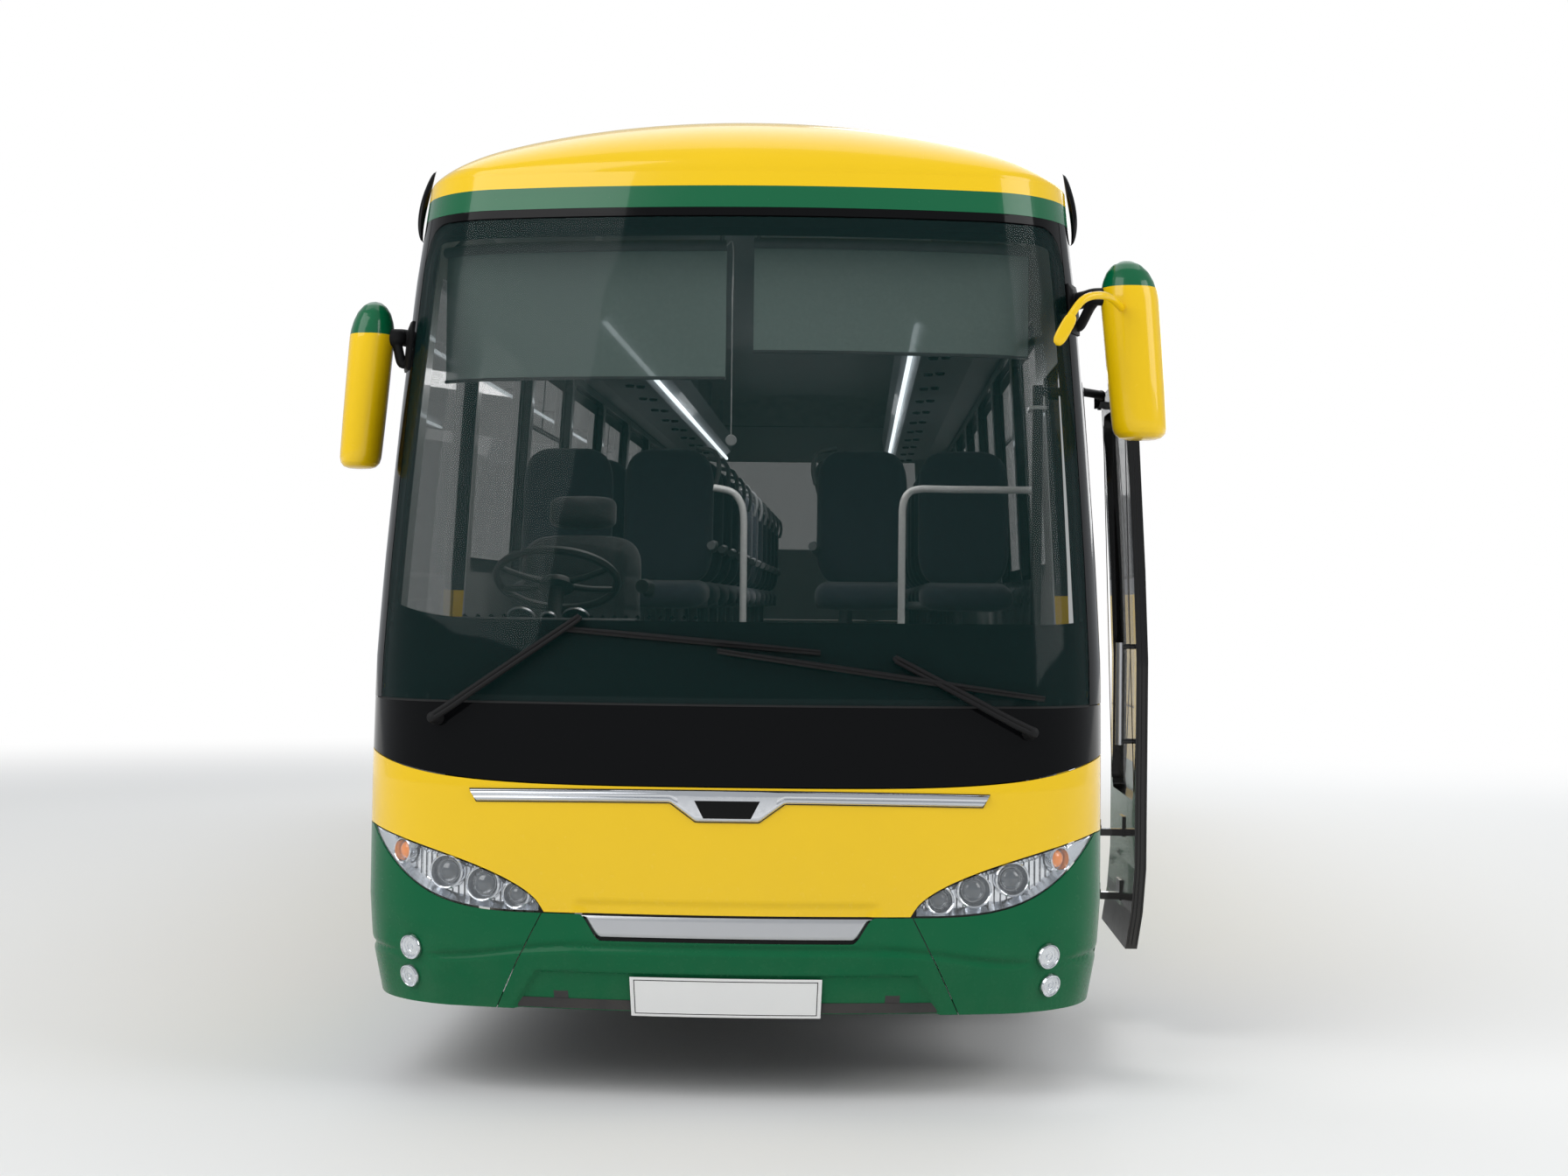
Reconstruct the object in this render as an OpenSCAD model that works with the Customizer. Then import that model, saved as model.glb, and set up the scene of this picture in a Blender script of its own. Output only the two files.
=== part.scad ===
/* [Body] */
// Overall length, front skin to rear skin
body_len = 12000; // [11000:100:13000]
// Overall width at the waist
body_w = 2550; // [2500:10:2600]
// Height of the skirt's lower edge above the road
skirt_z = 300; // [270:5:330]
// Thickness of the side walls
wall_t = 60; // [40:5:70]
// Height of the gutter where the side wall meets the roof
gutter_z = 3160; // [3120:10:3200]
// Rise of the main roof's arch above the gutter
roof_rise = 262; // [220:10:300]
// Rise of the front dome's crest above the gutter
dome_rise = 295; // [280:5:330]
// Length of the front dome along the roof
dome_len = 1500; // [1300:50:1700]
// Length of the rear dome along the roof
rear_dome_len = 900; // [800:20:1000]
/* [Front end] */
// Radius of the front panels' gentle curve across the bus
front_r = 4500; // [4000:100:6000]
// Radius of the front corners
corner_r = 420; // [380:10:460]
// Thickness of the front's moulded panels
panel_t = 8; // [6:1:10]
// Thickness of the window glass
glass_t = 8; // [5:1:10]
// Clearance between a panel and what carries it
seat_gap = 0.3; // [0.2:0.05:0.5]
// Shut line between front panels
gap = 4; // [3:0.5:5]
// Height of the windscreen's lower seam
seam_z = 1320; // [1290:5:1350]
// Height of the windscreen's upper edge
screen_top_z = 2995; // [2960:5:3010]
// Height where the green band of the dome begins
band_z = 3062; // [3045:5:3080]
// Height of the yellow panel's lower edge
yellow_z = 629; // [610:1:645]
// Height of the yellow panel's upper edge at the middle
yellow_top_z = 1050; // [1030:5:1070]
// Distance from the middle to the headlamp's inner tip
lamp_in_x = 613; // [590:1:640]
// Distance from the middle to the headlamp's outer tip
lamp_out_x = 1240; // [1220:1:1250]
// Rise of the headlamp from its inner to its outer tip
lamp_rise = 258; // [220:2:270]
/* [Wheels] */
// Distance between the axles
wheelbase = 6100; // [5900:50:6300]
// Front skin to the front axle
front_overhang = 2850; // [2800:10:2900]
// Diameter of a tyre
tyre_d = 1044; // [1000:2:1060]
// Width of a tyre
tyre_w = 290; // [270:5:300]
// Diameter of the rim's bead seat
rim_d = 572; // [560:1:590]
// Distance between the middles of the front tyres
track_front = 2060; // [2040:5:2080]
// Distance between the middles of the twin pairs
track_rear = 1830; // [1810:5:1850]
// Distance between the middles of one pair's tyres
twin_pitch = 330; // [320:1:340]
// Distance between the steering pivots
kingpin_track = 1640; // [1620:5:1660]
// Radius of the wheel arches in the side walls
arch_r = 620; // [610:5:650]
/* [Floors] */
// Height of the passenger floor
floor_z = 1250; // [1240:5:1290]
// Height of the driver's floor
cab_z = 950; // [900:10:980]
// Thickness of the floors
floor_t = 50; // [40:5:60]
// Height of the luggage floor's upper face
bay_floor_z = 440; // [420:5:460]
/* [Doors] */
// Front skin to the passenger door's front edge
door_back = 820; // [810:5:850]
// Width of the passenger door leaf
door_w = 850; // [800:5:860]
// Height of the passenger door leaf's lower edge
door_z = 330; // [320:5:350]
// Height of the passenger door leaf's upper edge
door_top_z = 2560; // [2450:10:2600]
// Thickness of the passenger door leaf
leaf_t = 46; // [40:1:50]
// Distance that the open leaf stands out from the side
door_out = 280; // [270:5:285]
// Distance that the open leaf lies behind its closed place
door_shift = 610; // [590:5:620]
/* [Windows] */
// Height of the side windows' lower edge
window_z = 1780; // [1740:10:1820]
// Height of the side windows' upper edge
window_top_z = 2860; // [2800:10:2900]
// Width of the pillar between side windows
pillar_w = 80; // [60:5:100]
// Number of main side windows on each side
window_count = 6; // [4:1:6]
/* [Seats] */
// Rows of double seats on each side
seat_rows = 12; // [8:1:12]
// Width of one seat
seat_w = 445; // [430:5:450]
// Width of the aisle between the seats
aisle_w = 430; // [400:10:440]
/* [Hidden] */
yellow = [0.95, 0.78, 0.02];
green = [0.0, 0.33, 0.17];
gloss_black = [0.03, 0.03, 0.035];
dark = [0.12, 0.12, 0.13];
steel = [0.55, 0.56, 0.58];
glass = [0.35, 0.45, 0.45, 0.4];
half_w = body_w / 2;
front_y = -body_len / 2;
rear_y = body_len / 2;
front_axle_y = front_y + front_overhang;
rear_axle_y = front_axle_y + wheelbase;
wheel_z = tyre_d / 2;
// Half width of the body against height, each row [height, half width]
SIDE = [[250, half_w - 45], [skirt_z, half_w - 38], [470, half_w - 12], [640, half_w],
    [1450, half_w], [1800, half_w - 14], [2300, half_w - 42], [2800, half_w - 74],
    [gutter_z, half_w - 108], [gutter_z + 400, half_w - 130]];
// Set-back of the front's middle against height, each row [height, set-back]
NOSE = [[250, 60], [skirt_z, 45], [420, 16], [500, 0], [540, 0], [700, 4], [1050, 16],
    [seam_z, 46], [1600, 88], [2000, 160], [2400, 242], [2800, 330], [gutter_z, 420],
    [gutter_z + 400, 600]];
// Set-in of the rear's middle against height, each row [height, set-in]
TAIL = [[250, 60], [skirt_z, 50], [560, 0], [1500, 10], [2100, 60], [gutter_z, 190],
    [gutter_z + 400, 250]];
// An end of the body: [radius across, corner radius, y of its middle, inward sign, table]
FRONT = [front_r, corner_r, front_y, 1, NOSE];
REAR = [9000, 300, rear_y, -1, TAIL];

function half_at(z) = lookup(z, SIDE);
function arc_end(e) = asin((half_w - e[1]) / (e[0] - e[1]));
function across_len(e) = e[0] * arc_end(e) * PI / 180;
function round_len(e) = e[1] * (90 - arc_end(e)) * PI / 180;
function reach(e) = across_len(e) + round_len(e);
function turn(e, s) = abs(s) <= across_len(e) ? abs(s) / e[0] * 180 / PI
    : min(90, arc_end(e) + (abs(s) - across_len(e)) / e[1] * 180 / PI);
function plan_x(e, s) = sign(s) * (abs(s) <= across_len(e) ? e[0] * sin(turn(e, s))
    : (e[0] - e[1]) * sin(arc_end(e)) + e[1] * sin(turn(e, s)));
function plan_y(e, s) = abs(s) <= across_len(e) ? e[0] * (1 - cos(turn(e, s)))
    : e[0] - (e[0] - e[1]) * cos(arc_end(e)) - e[1] * cos(turn(e, s))
        + max(0, abs(s) - reach(e));
function skin(e, s, z) = [plan_x(e, s) * half_at(z) / half_w,
    e[2] + e[3] * (lookup(z, e[4]) + plan_y(e, s)), z];
function unit(v) = v / norm(v);
function skin_out(e, s, z) = e[3] * unit(cross(skin(e, s + 4, z) - skin(e, s - 4, z),
    skin(e, s, z + 25) - skin(e, s, z - 25)));
function s_at(e, x) = abs(x) <= e[0] * sin(arc_end(e)) ? sign(x) * e[0] * asin(abs(x) / e[0]) * PI / 180
    : sign(x) * (across_len(e) + e[1] * PI / 180
        * (asin(min(1, (abs(x) - (e[0] - e[1]) * sin(arc_end(e))) / e[1])) - arc_end(e)));
function mix(a, b, t) = a + (b - a) * t;
function depth_y(e) = plan_y(e, reach(e));

nose_end_y = front_y + lookup(seam_z, NOSE) + depth_y(FRONT);
tail_end_y = rear_y - lookup(1500, TAIL) - depth_y(REAR);

// A curved slab between two grids of points, nu cells across and nv cells up
module slab(outer, inner, nu, nv, flip) {
    row = nv + 1;
    n = len(outer);
    quads = concat(
        [for (i = [0:nu - 1]) for (j = [0:nv - 1])
            [i * row + j, i * row + j + 1, (i + 1) * row + j + 1, (i + 1) * row + j]],
        [for (i = [0:nu - 1]) for (j = [0:nv - 1])
            [n + i * row + j, n + (i + 1) * row + j, n + (i + 1) * row + j + 1, n + i * row + j + 1]],
        [for (i = [0:nu - 1]) [i * row, (i + 1) * row, n + (i + 1) * row, n + i * row]],
        [for (i = [0:nu - 1]) [i * row + nv, n + i * row + nv, n + (i + 1) * row + nv, (i + 1)
            * row + nv]],
        [for (j = [0:nv - 1]) [j, n + j, n + j + 1, j + 1]],
        [for (j = [0:nv - 1]) [nu * row + j, nu * row + j + 1, n + nu * row + j + 1,
            n + nu * row + j]]);
    tris = [for (q = quads) each [[q[0], q[1], q[2]], [q[0], q[2], q[3]]]];
    polyhedron(points = concat(outer, inner), convexity = 8,
        faces = flip ? [for (t = tris) [t[2], t[1], t[0]]] : tris);
}
// A panel of an end: at(u, v) gives [s, z] for u across and v up, both from 0 to 1
module skin_panel(e, at, nu, nv, thick, proud = 0) {
    grid = [for (i = [0:nu]) for (j = [0:nv]) at(i / nu, j / nv)];
    slab([for (q = grid) skin(e, q[0], q[1]) + proud * skin_out(e, q[0], q[1])],
        [for (q = grid) skin(e, q[0], q[1]) + (proud - thick) * skin_out(e, q[0], q[1])],
        nu, nv, e[3] < 0);
}
function end_y(e, z) = e[2] + e[3] * (lookup(z, e[4]) + depth_y(e));

// An outline in x and z, carried from y0 to y1
module along_y(y0, y1) {
    translate([0, y1, 0]) rotate([90, 0, 0]) linear_extrude(y1 - y0) children();
}
// An outline in y and z, carried from x0 to x1
module along_x(x0, x1) {
    translate([x0, 0, 0]) rotate([90, 0, 90]) linear_extrude(x1 - x0) children();
}
module box(lo, hi) {
    translate(lo) cube(hi - lo);
}
module round_rect(lo, hi, r) {
    translate([lo[0] + r, lo[1]]) square([hi[0] - lo[0] - 2 * r, hi[1] - lo[1]]);
    translate([lo[0], lo[1] + r]) square([hi[0] - lo[0], hi[1] - lo[1] - 2 * r]);
    for (x = [lo[0] + r, hi[0] - r], y = [lo[1] + r, hi[1] - r])
        translate([x, y]) circle(r, $fn = 24);
}
module rod(a, b, r, sides = 16) {
    d = b - a;
    translate(a) rotate([0, acos(d[2] / norm(d)), atan2(d[1], d[0])])
        cylinder(h = norm(d), r = r, $fn = sides);
}
module both_sides() {
    children();
    mirror([1, 0, 0]) children();
}

// Side wall outline in x and z between two heights
function side_run(z0, z1, inset) = concat([[half_at(z0) - inset, z0]],
    [for (r = SIDE) if (r[0] > z0 + 1 && r[0] < z1 - 1) [r[1] - inset, r[0]]],
    [[half_at(z1) - inset, z1]]);
module wall_outline(z0, z1, outer, inner) {
    a = side_run(z0, z1, outer);
    b = side_run(z0, z1, inner);
    polygon(concat(a, [for (i = [len(b) - 1:-1:0]) b[i]]));
}

door_y0 = front_y + door_back;
door_y1 = door_y0 + door_w;
door_gap = 8;
post_bearing_z = 2440;
door_rear_gap = 14;
bay_y0 = front_axle_y + 760;
bay_y1 = rear_axle_y - 760;
bay_top_z = 1170;
// The luggage doors turn about a bead that runs along their upper edge
bead_r = 7;
bead_x = half_w - bead_r;
bead_z = bay_top_z + 1;
bay_door_z = skirt_z;
bay_mid_y = (bay_y0 + bay_y1) / 2;
// Luggage doors, each row [first y, last y]
BAYS = [[bay_y0, bay_mid_y], [bay_mid_y, bay_y1]];
bay_gap = 8;
window_y0 = door_y1 + 330;
window_y1 = tail_end_y - 715;
window_w = (window_y1 - window_y0 + pillar_w) / window_count - pillar_w;
function window_at(i) = window_y0 + i * (window_w + pillar_w);
cab_window_y1 = window_y0 - pillar_w;
grille_y0 = rear_axle_y + 900;
grille_y1 = tail_end_y - 350;
grille_z0 = 760;
grille_z1 = 1240;

module window_holes() {
    for (i = [0:window_count - 1])
        along_x(half_w - 250, half_w + 50)
            round_rect([window_at(i), window_z], [window_at(i) + window_w, window_top_z], 60);
}

// Heights at which an end's table bends, from the skirt to the gutter
function end_rows(table, down = false) = let (
    up = concat([skirt_z], [for (r = table) if (r[0] > skirt_z + 1 && r[0] < gutter_z - 1) r[0]],
        [gutter_z]))
    down ? [for (i = [len(up) - 1:-1:0]) up[i]] : up;
function cab_window(inset) = [[end_y(FRONT, 1450) + 110 + inset, 1450 + inset],
    [cab_window_y1 - inset, 1450 + inset], [cab_window_y1 - inset, window_top_z - inset],
    [end_y(FRONT, window_top_z) + 110 + inset, window_top_z - inset]];
// One side wall, drawn on the +x side
module side_wall(with_door) {
    difference() {
        intersection() {
            along_y(front_y, rear_y) wall_outline(skirt_z, gutter_z - 0.8, 0, wall_t);
            along_x(half_w - 250, half_w + 50) polygon(concat(
                [for (z = end_rows(NOSE)) [end_y(FRONT, z) + gap, z]],
                [for (z = end_rows(TAIL, true)) [end_y(REAR, z) - gap, z]]));
        }
        window_holes();
        for (y = [front_axle_y, rear_axle_y])
            translate([half_w - 250, y, wheel_z]) rotate([0, 90, 0])
                cylinder(h = 400, r = arch_r, $fn = 72);
        for (y = [front_axle_y, rear_axle_y])
            box([half_w - 250, y - arch_r, 0], [half_w + 50, y + arch_r, wheel_z]);
        box([half_w - 250, bay_y0 - bay_gap, 0],
            [half_w + 50, bay_y1 + bay_gap, bead_z + bead_r + seat_gap]);
        box([half_w - 250, grille_y0, grille_z0], [half_w + 50, grille_y1, grille_z1]);
        if (with_door) {
            box([half_w - 250, door_y0 - door_gap, 0],
                [half_w + 50, door_y1 + door_rear_gap, door_top_z + door_gap]);
        } else {
            along_x(half_w - 250, half_w + 50) polygon(cab_window(0));
        }
    }
    for (i = [0:9])
        along_y(grille_y0, grille_y1)
            polygon([[half_w - 46, grille_z0 + 14 + 46 * i], [half_w - 6, grille_z0 + 34 + 46 * i],
                [half_w - 6, grille_z0 + 40 + 46 * i], [half_w - 46, grille_z0 + 20 + 46 * i]]);
}

module wall_left() {
    color(yellow) {
        side_wall(true);
        // Bearing of the door's post, inside the rear edge of the doorway
        difference() {
            union() {
                box([pillar_x - 34, pillar_y, post_bearing_z],
                    [1170, door_y1 + 70, post_bearing_z + 14]);
                translate([pillar_x, pillar_y, post_bearing_z]) cylinder(h = 14, r = 34, $fn = 32);
            }
            translate([pillar_x, pillar_y, post_bearing_z - 20])
                cylinder(h = 60, r = post_r + seat_gap, $fn = 32);
        }
    }
}
module wall_right() {
    color(yellow) mirror([1, 0, 0]) side_wall(false);
}

// Roof arch outline: half ellipse of the given half width and rise
function arch_pts(hw, rise, n) = [for (i = [0:n])
    [hw * cos(180 * i / n), gutter_z + rise * sin(180 * i / n)]];
roof_t = 55;
roof_y0 = front_y + dome_len + seat_gap;
roof_y1 = rear_y - rear_dome_len - seat_gap;

module roof() {
    color(yellow) along_y(roof_y0, roof_y1)
        polygon(concat(arch_pts(half_at(gutter_z), roof_rise, 24),
            [for (p = arch_pts(half_at(gutter_z) - roof_t, roof_rise - roof_t, 24)) [-p[0], p[1]]]));
}

// A rounded roof end: [end of the body, length, run up to the crest, crest rise, last rise]
FRONT_DOME = [FRONT, dome_len, 830, dome_rise, roof_rise + 14];
REAR_DOME = [REAR, rear_dome_len, 420, roof_rise + 14, roof_rise + 14];
function dome_pt(d, u, v, inset) = let (
    e = d[0],
    half = half_at(gutter_z) - inset,
    x = half * sin(u),
    back = lookup(gutter_z, e[4]),
    y0 = back + inset + plan_y(e, s_at(e, min(half_w, abs(x) * half_w / half))),
    y = mix(y0, d[1], 1 - cos(v)),
    run = min(1, (y - y0) / d[2]),
    fall = min(1, max(0, (y - back - d[2]) / (d[1] - back - d[2]))),
    rise = mix(d[3], d[4], (1 - cos(180 * fall)) / 2) - inset)
    [x, e[2] + e[3] * y, gutter_z + rise * cos(u) * sqrt(1 - (1 - run) * (1 - run))];
module dome_shell(d, nu, nv, thick) {
    slab([for (i = [0:nu]) for (j = [0:nv]) dome_pt(d, -90 + 180 * i / nu, 90 * j / nv, 0)],
        [for (i = [0:nu]) for (j = [0:nv]) dome_pt(d, -90 + 180 * i / nu, 90 * j / nv, thick)
            - [0, 0, 0.5]],
        nu, nv, d[0][3] < 0);
}
module roof_cap() {
    s1 = reach(FRONT);
    color(yellow) {
        dome_shell(FRONT_DOME, 28, 12, 12);
        skin_panel(FRONT, function(u, v) [mix(-s1, s1, u), mix(band_z, gutter_z, v)], 32, 1, 12);
    }
}

screen_s = s_at(FRONT, 1215);
screen_corner = 130;
function screen_top(s) = let (d = max(0, abs(s) - (screen_s - screen_corner)))
    screen_top_z - (screen_corner - sqrt(max(0, screen_corner * screen_corner - d * d)));

// Heights at which the rake changes between the screen's lower and upper edges
RAKE_ROWS = [1600, 2000, 2400, 2800];
function screen_row(z0, z1, v) = v < 0.1 ? z0 : v > 0.9 ? z1 : RAKE_ROWS[round(v * 5) - 1];
module windscreen() {
    color(glass) skin_panel(FRONT, function(u, v) let (s = mix(-screen_s, screen_s, u))
        [s, screen_row(seam_z + gap, screen_top(s), v)], 48, 5, glass_t);
}
frame_back = glass_t + seat_gap;
module screen_frame() {
    s1 = reach(FRONT);
    lip = 35;
    color(gloss_black) {
        skin_panel(FRONT, function(u, v) let (s = mix(-screen_s, screen_s, u))
            [s, mix(screen_top(s) + 5, band_z - gap, v)], 48, 1, glass_t + 4);
        skin_panel(FRONT, function(u, v) let (s = mix(-screen_s, screen_s, u))
            [s, mix(screen_top(s) - lip, band_z - gap - 2, v)], 48, 1, 20, -frame_back);
        skin_panel(FRONT, function(u, v) [mix(-s1, s1, u), mix(band_z - 30, band_z + 30, v)],
            32, 1, 15, -12 - seat_gap);
        both_sides() {
            skin_panel(FRONT, function(u, v)
                [mix(screen_s + 6, s1 - 1, u), mix(seam_z + gap, seam_z + rib_h + 8, v)],
                8, 1, glass_t - 1, -0.5);
            skin_panel(FRONT, function(u, v) [mix(screen_s + 5, s1, u),
                screen_row(seam_z + rib_h, band_z - gap, v)], 8, 5, glass_t + 6);
            skin_panel(FRONT, function(u, v) [mix(screen_s - lip, s1, u),
                screen_row(seam_z + rib_h, band_z - gap, v)], 8, 5, 24, -frame_back - 1.2);
        }
    }
}
lamp_top_z = yellow_z + lamp_rise;
// Steel frame behind the front panels. Ribs, each row
// [lower z, upper z, half length along the skin, extra depth behind the panel]
rib_h = 50;
rib_t = 30;
RIBS = [[skirt_z + 4, skirt_z + 38, reach(FRONT), 0.6], [560, 612, s_at(FRONT, 590), 0.4],
    [lamp_top_z + 14, lamp_top_z + 54, reach(FRONT), 0.1],
        [seam_z - rib_h / 2, seam_z + rib_h / 2, reach(FRONT), 0.6]];
// Front chassis rails: inner x, width and front end
rail_x = 290;
rail_w = 40;
rail_y0 = front_y + 260;
module front_frame() {
    color(dark) {
        for (r = RIBS)
            skin_panel(FRONT, function(u, v) [mix(-1, 1, u) * r[2], mix(r[0], r[1], v)],
                r[2] > 1000 ? 32 : 12, 1, rib_t, -frame_back - r[3]);
        both_sides() {
            skin_panel(FRONT, function(u, v) [s_at(FRONT, mix(540, 590, u)),
                mix(skirt_z + 30, seam_z, v)],
                1, 5, rib_t - 3, -frame_back - 2);
            // Outriggers from the frame back to the rails
            box([rail_x, front_y + 20 + frame_back, 690], [rail_x + rail_w, rail_y0 - seat_gap, 750]);
            box([rail_x, front_y + 40, 570], [rail_x + rail_w, front_y + 100, 750]);
            // Uprights from the frame to the driver's deck
            box([560, front_y + 76, lamp_top_z + 16], [600, front_y + 330 - seat_gap, lamp_top_z + 50]);
        }
    }
}
function yellow_top(s) = yellow_top_z + 96 * pow(abs(plan_x(FRONT, s)) / half_w, 5);
function lamp_u(s) = min(1, max(0, (abs(plan_x(FRONT, s)) - lamp_in_x) / (lamp_out_x - lamp_in_x)));
function lamp_top(s) = yellow_z + lamp_rise * pow(lamp_u(s), 0.55);
function lamp_low(s) = yellow_z + lamp_rise * pow(lamp_u(s), 3.3);

module mask() {
    s1 = reach(FRONT);
    color(gloss_black) skin_panel(FRONT, function(u, v) let (s = mix(-s1, s1, u))
        [s, mix(yellow_top(s) + gap, seam_z, v)], 64, 2, panel_t);
}
module front_panel() {
    s1 = reach(FRONT);
    color(yellow) skin_panel(FRONT, function(u, v) let (s = mix(-s1, s1, u))
        [s, mix(max(lamp_top(s), yellow_z) + gap / 2, yellow_top(s), v)], 64, 4, panel_t);
}

slot_top_x = 492;
slot_low_x = 446;
slot_low_z = 543;
split_top_x = lamp_in_x;
split_low_x = 792;
bumper_t = 8;
function slot_line(s) = let (x = abs(plan_x(FRONT, s)),
    t = min(1, max(0, (x - slot_low_x + 30) / (slot_top_x - slot_low_x + 30))))
    mix(slot_low_z, yellow_z, (1 - cos(180 * t)) / 2);
function bumper_top(s) = (abs(plan_x(FRONT, s)) < lamp_in_x ? slot_line(s) : lamp_low(s)) - gap / 2;
// Fog lamps on each side, each row [distance from the middle, height, radius]
FOGS = [[1082, 490, 38], [1104, 387, 35]];
module on_skin(x, z) {
    s = s_at(FRONT, x);
    p = skin(FRONT, s, z);
    n = skin_out(FRONT, s, z);
    translate(p) rotate([0, acos(n[2]), atan2(n[1], n[0])]) children();
}
module bumper() {
    s1 = reach(FRONT);
    st = s_at(FRONT, split_top_x);
    sb = s_at(FRONT, split_low_x);
    color(green) {
        skin_panel(FRONT, function(u, v) let (s = mix(-1, 1, u) * mix(sb, st, v))
            [s, mix(skirt_z, bumper_top(mix(-st, st, u)), v)], 36, 6, bumper_t);
        both_sides() difference() {
            skin_panel(FRONT, function(u, v) let (s = mix(mix(sb, st, v) + gap, s1, u))
                [s, mix(skirt_z, bumper_top(mix(st + gap, s1, u)), v)], 18, 6, bumper_t);
            for (f = FOGS)
                on_skin(f[0], f[1]) translate([0, 0, -40])
                    cylinder(h = 80, r = f[2] + 8 + seat_gap, $fn = 32);
        }
    }
}

lamp_depth = 58;
lamp_edge = 4.5;
lamp_set = 4 + seat_gap;
// Lamps on each side, each row [distance from the middle, height, pocket radius, lens radius]
LAMPS = [[710, 684, 42, 34], [822, 714, 52, 44], [952, 752, 52, 44], [1122, 806, 40, 34]];
module lamp_panel(thick, proud, edge) {
    s0 = s_at(FRONT, lamp_in_x + 14 + edge);
    s1 = s_at(FRONT, lamp_out_x - 4 - edge);
    skin_panel(FRONT, function(u, v) let (s = mix(s0, s1, u), lo = lamp_low(s) + edge,
        hi = lamp_top(s) - edge)
        [s, mix(min(lo, (lo + hi) / 2 - 2), max(hi, (lo + hi) / 2 + 2), v)], 16, 2, thick, proud);
}
module headlamps() {
    color("silver") both_sides() {
        difference() {
            lamp_panel(lamp_depth - lamp_set, -lamp_set, lamp_edge);
            for (l = LAMPS)
                on_skin(l[0], l[1]) translate([0, 0, -lamp_set - 26])
                    cylinder(h = 80, r = l[2], $fn = 32);
        }
        for (l = LAMPS)
            on_skin(l[0], l[1]) translate([0, 0, -lamp_set - 27]) rotate_extrude($fn = 32)
                polygon([[0, 0], [l[3] + 4, 0], [l[3] + 4, 12], [l[3], 14], [l[3] * 0.7, 20], [0, 24]]);
        // Tab behind the frame's rib
        skin_panel(FRONT, function(u, v) [s_at(FRONT, mix(1000, 1060, u)),
            mix(lamp_top_z - 90, lamp_top_z + 40, v)], 2, 1, 8, -frame_back - rib_t - 3);
        for (f = FOGS)
            on_skin(f[0], f[1]) translate([0, 0, -34]) rotate_extrude($fn = 32)
                polygon([[0, 0], [f[2] + 8, 0], [f[2] + 8, 34], [f[2], 34], [f[2], 24], [0, 30]]);
    }
}
module lamp_glass() {
    color(glass) both_sides() lamp_panel(4, 0, lamp_edge);
}

bar_x = 872;
bar_z = 1034;
bar_h = 40;
badge_x = 112;
badge_z = 936;
module front_trim() {
    s1 = s_at(FRONT, bar_x);
    sb = s_at(FRONT, badge_x);
    st = s_at(FRONT, slot_top_x - 24);
    color("silver") {
        skin_panel(FRONT, function(u, v) let (s = mix(-s1, s1, u), a = min(1, abs(s) / sb),
                h = bar_h * (1 - 0.45 * pow(abs(s) / s1, 2)))
            [s, bar_z - h * (1 - v) - (1 - v) * (bar_z - h - badge_z)
                * (a < 1 ? min(1, (1 - a) * 3) : 0)
                - 8 * pow(abs(s) / s1, 2) * v], 48, 2, 14, 14.3);
        skin_panel(FRONT, function(u, v) let (s = mix(-st, st, u))
            [s, mix(min(slot_line(s) + 9, yellow_z - 8), yellow_z - 3, v)], 32, 1, 5, -3);
    }
}

plate_w = 650;
plate_h = 137;
plate_z = 288;
plate_t = 4;
// Flat plates, each row [end, lower z, clearance to the curved panel]
PLATES = [[FRONT, plate_z, 1.2], [REAR, 395, 0.5]];
module plates() {
    color("white") for (e = PLATES)
        skin_panel(e[0], function(u, v) [mix(-plate_w / 2, plate_w / 2, u),
            mix(e[1], e[1] + plate_h, v)],
            8, 1, plate_t, plate_t + e[2]);
}

// Wiper arms, each row [pivot x, pivot z, tip x, tip z]
WIPERS = [[-985, 1262, -505, 1600], [995, 1235, 545, 1475]];
// Wiper blades, each row [first x, first z, last x, last z, height over the glass]
BLADES = [[-560, 1570, 300, 1500, 12], [-40, 1500, 1035, 1350, 31]];
// Depth of the mask's flat facets below its true curve at the wiper pivots
facet_sink = 0.15;
function on_front(x, z, out) = skin(FRONT, s_at(FRONT, x), z)
    + out * skin_out(FRONT, s_at(FRONT, x), z);
module wipers() {
    color(dark) for (w = WIPERS) {
        rod(on_front(w[0], w[1], seat_gap - facet_sink), on_front(w[0], w[1], 56), 24);
        rod(on_front(w[0], w[1], 44), on_front(w[2], w[3], 30), 11, 8);
    }
    color(dark) for (b = BLADES, k = [0:11])
        rod(on_front(mix(b[0], b[2], k / 12), mix(b[1], b[3], k / 12), b[4]),
            on_front(mix(b[0], b[2], (k + 1) / 12), mix(b[1], b[3], (k + 1) / 12), b[4]), 9, 8);
}

// Mirrors, each row [side, middle x, y, top z, lower z, width, depth, bracket's place along the skin]
MIRRORS = [[-1, half_w + 70, front_y + 650, 2748, 2113, 158, 210, 1400],
    [1, half_w + 105, front_y + 550, 2896, 2231, 206, 230, 1365]];
// A head's lower end stands out further than its top: this far per millimetre of height
mirror_lean = 0.085;
module mirror_head(m) {
    w = m[5];
    d = m[6];
    h = m[3] - m[4];
    // Height and radius of each ring of the head
    rings = [[12, d / 2 - 22], [40, d / 2 - 4], [h * 0.7, d / 2 - 1], [h - 135, d / 2],
        [h - 80, d / 2 - 8], [h - 45, d / 2 - 25], [h - 20, d / 2 - 55]];
    translate([m[0] * m[1], m[2], m[4]]) hull() for (r = rings)
        translate([m[0] * mirror_lean * (h / 2 - r[0]), 0, r[0]]) scale([w / d, 1, 1])
            cylinder(h = 2, r = r[1], $fn = 32);
}
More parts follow.
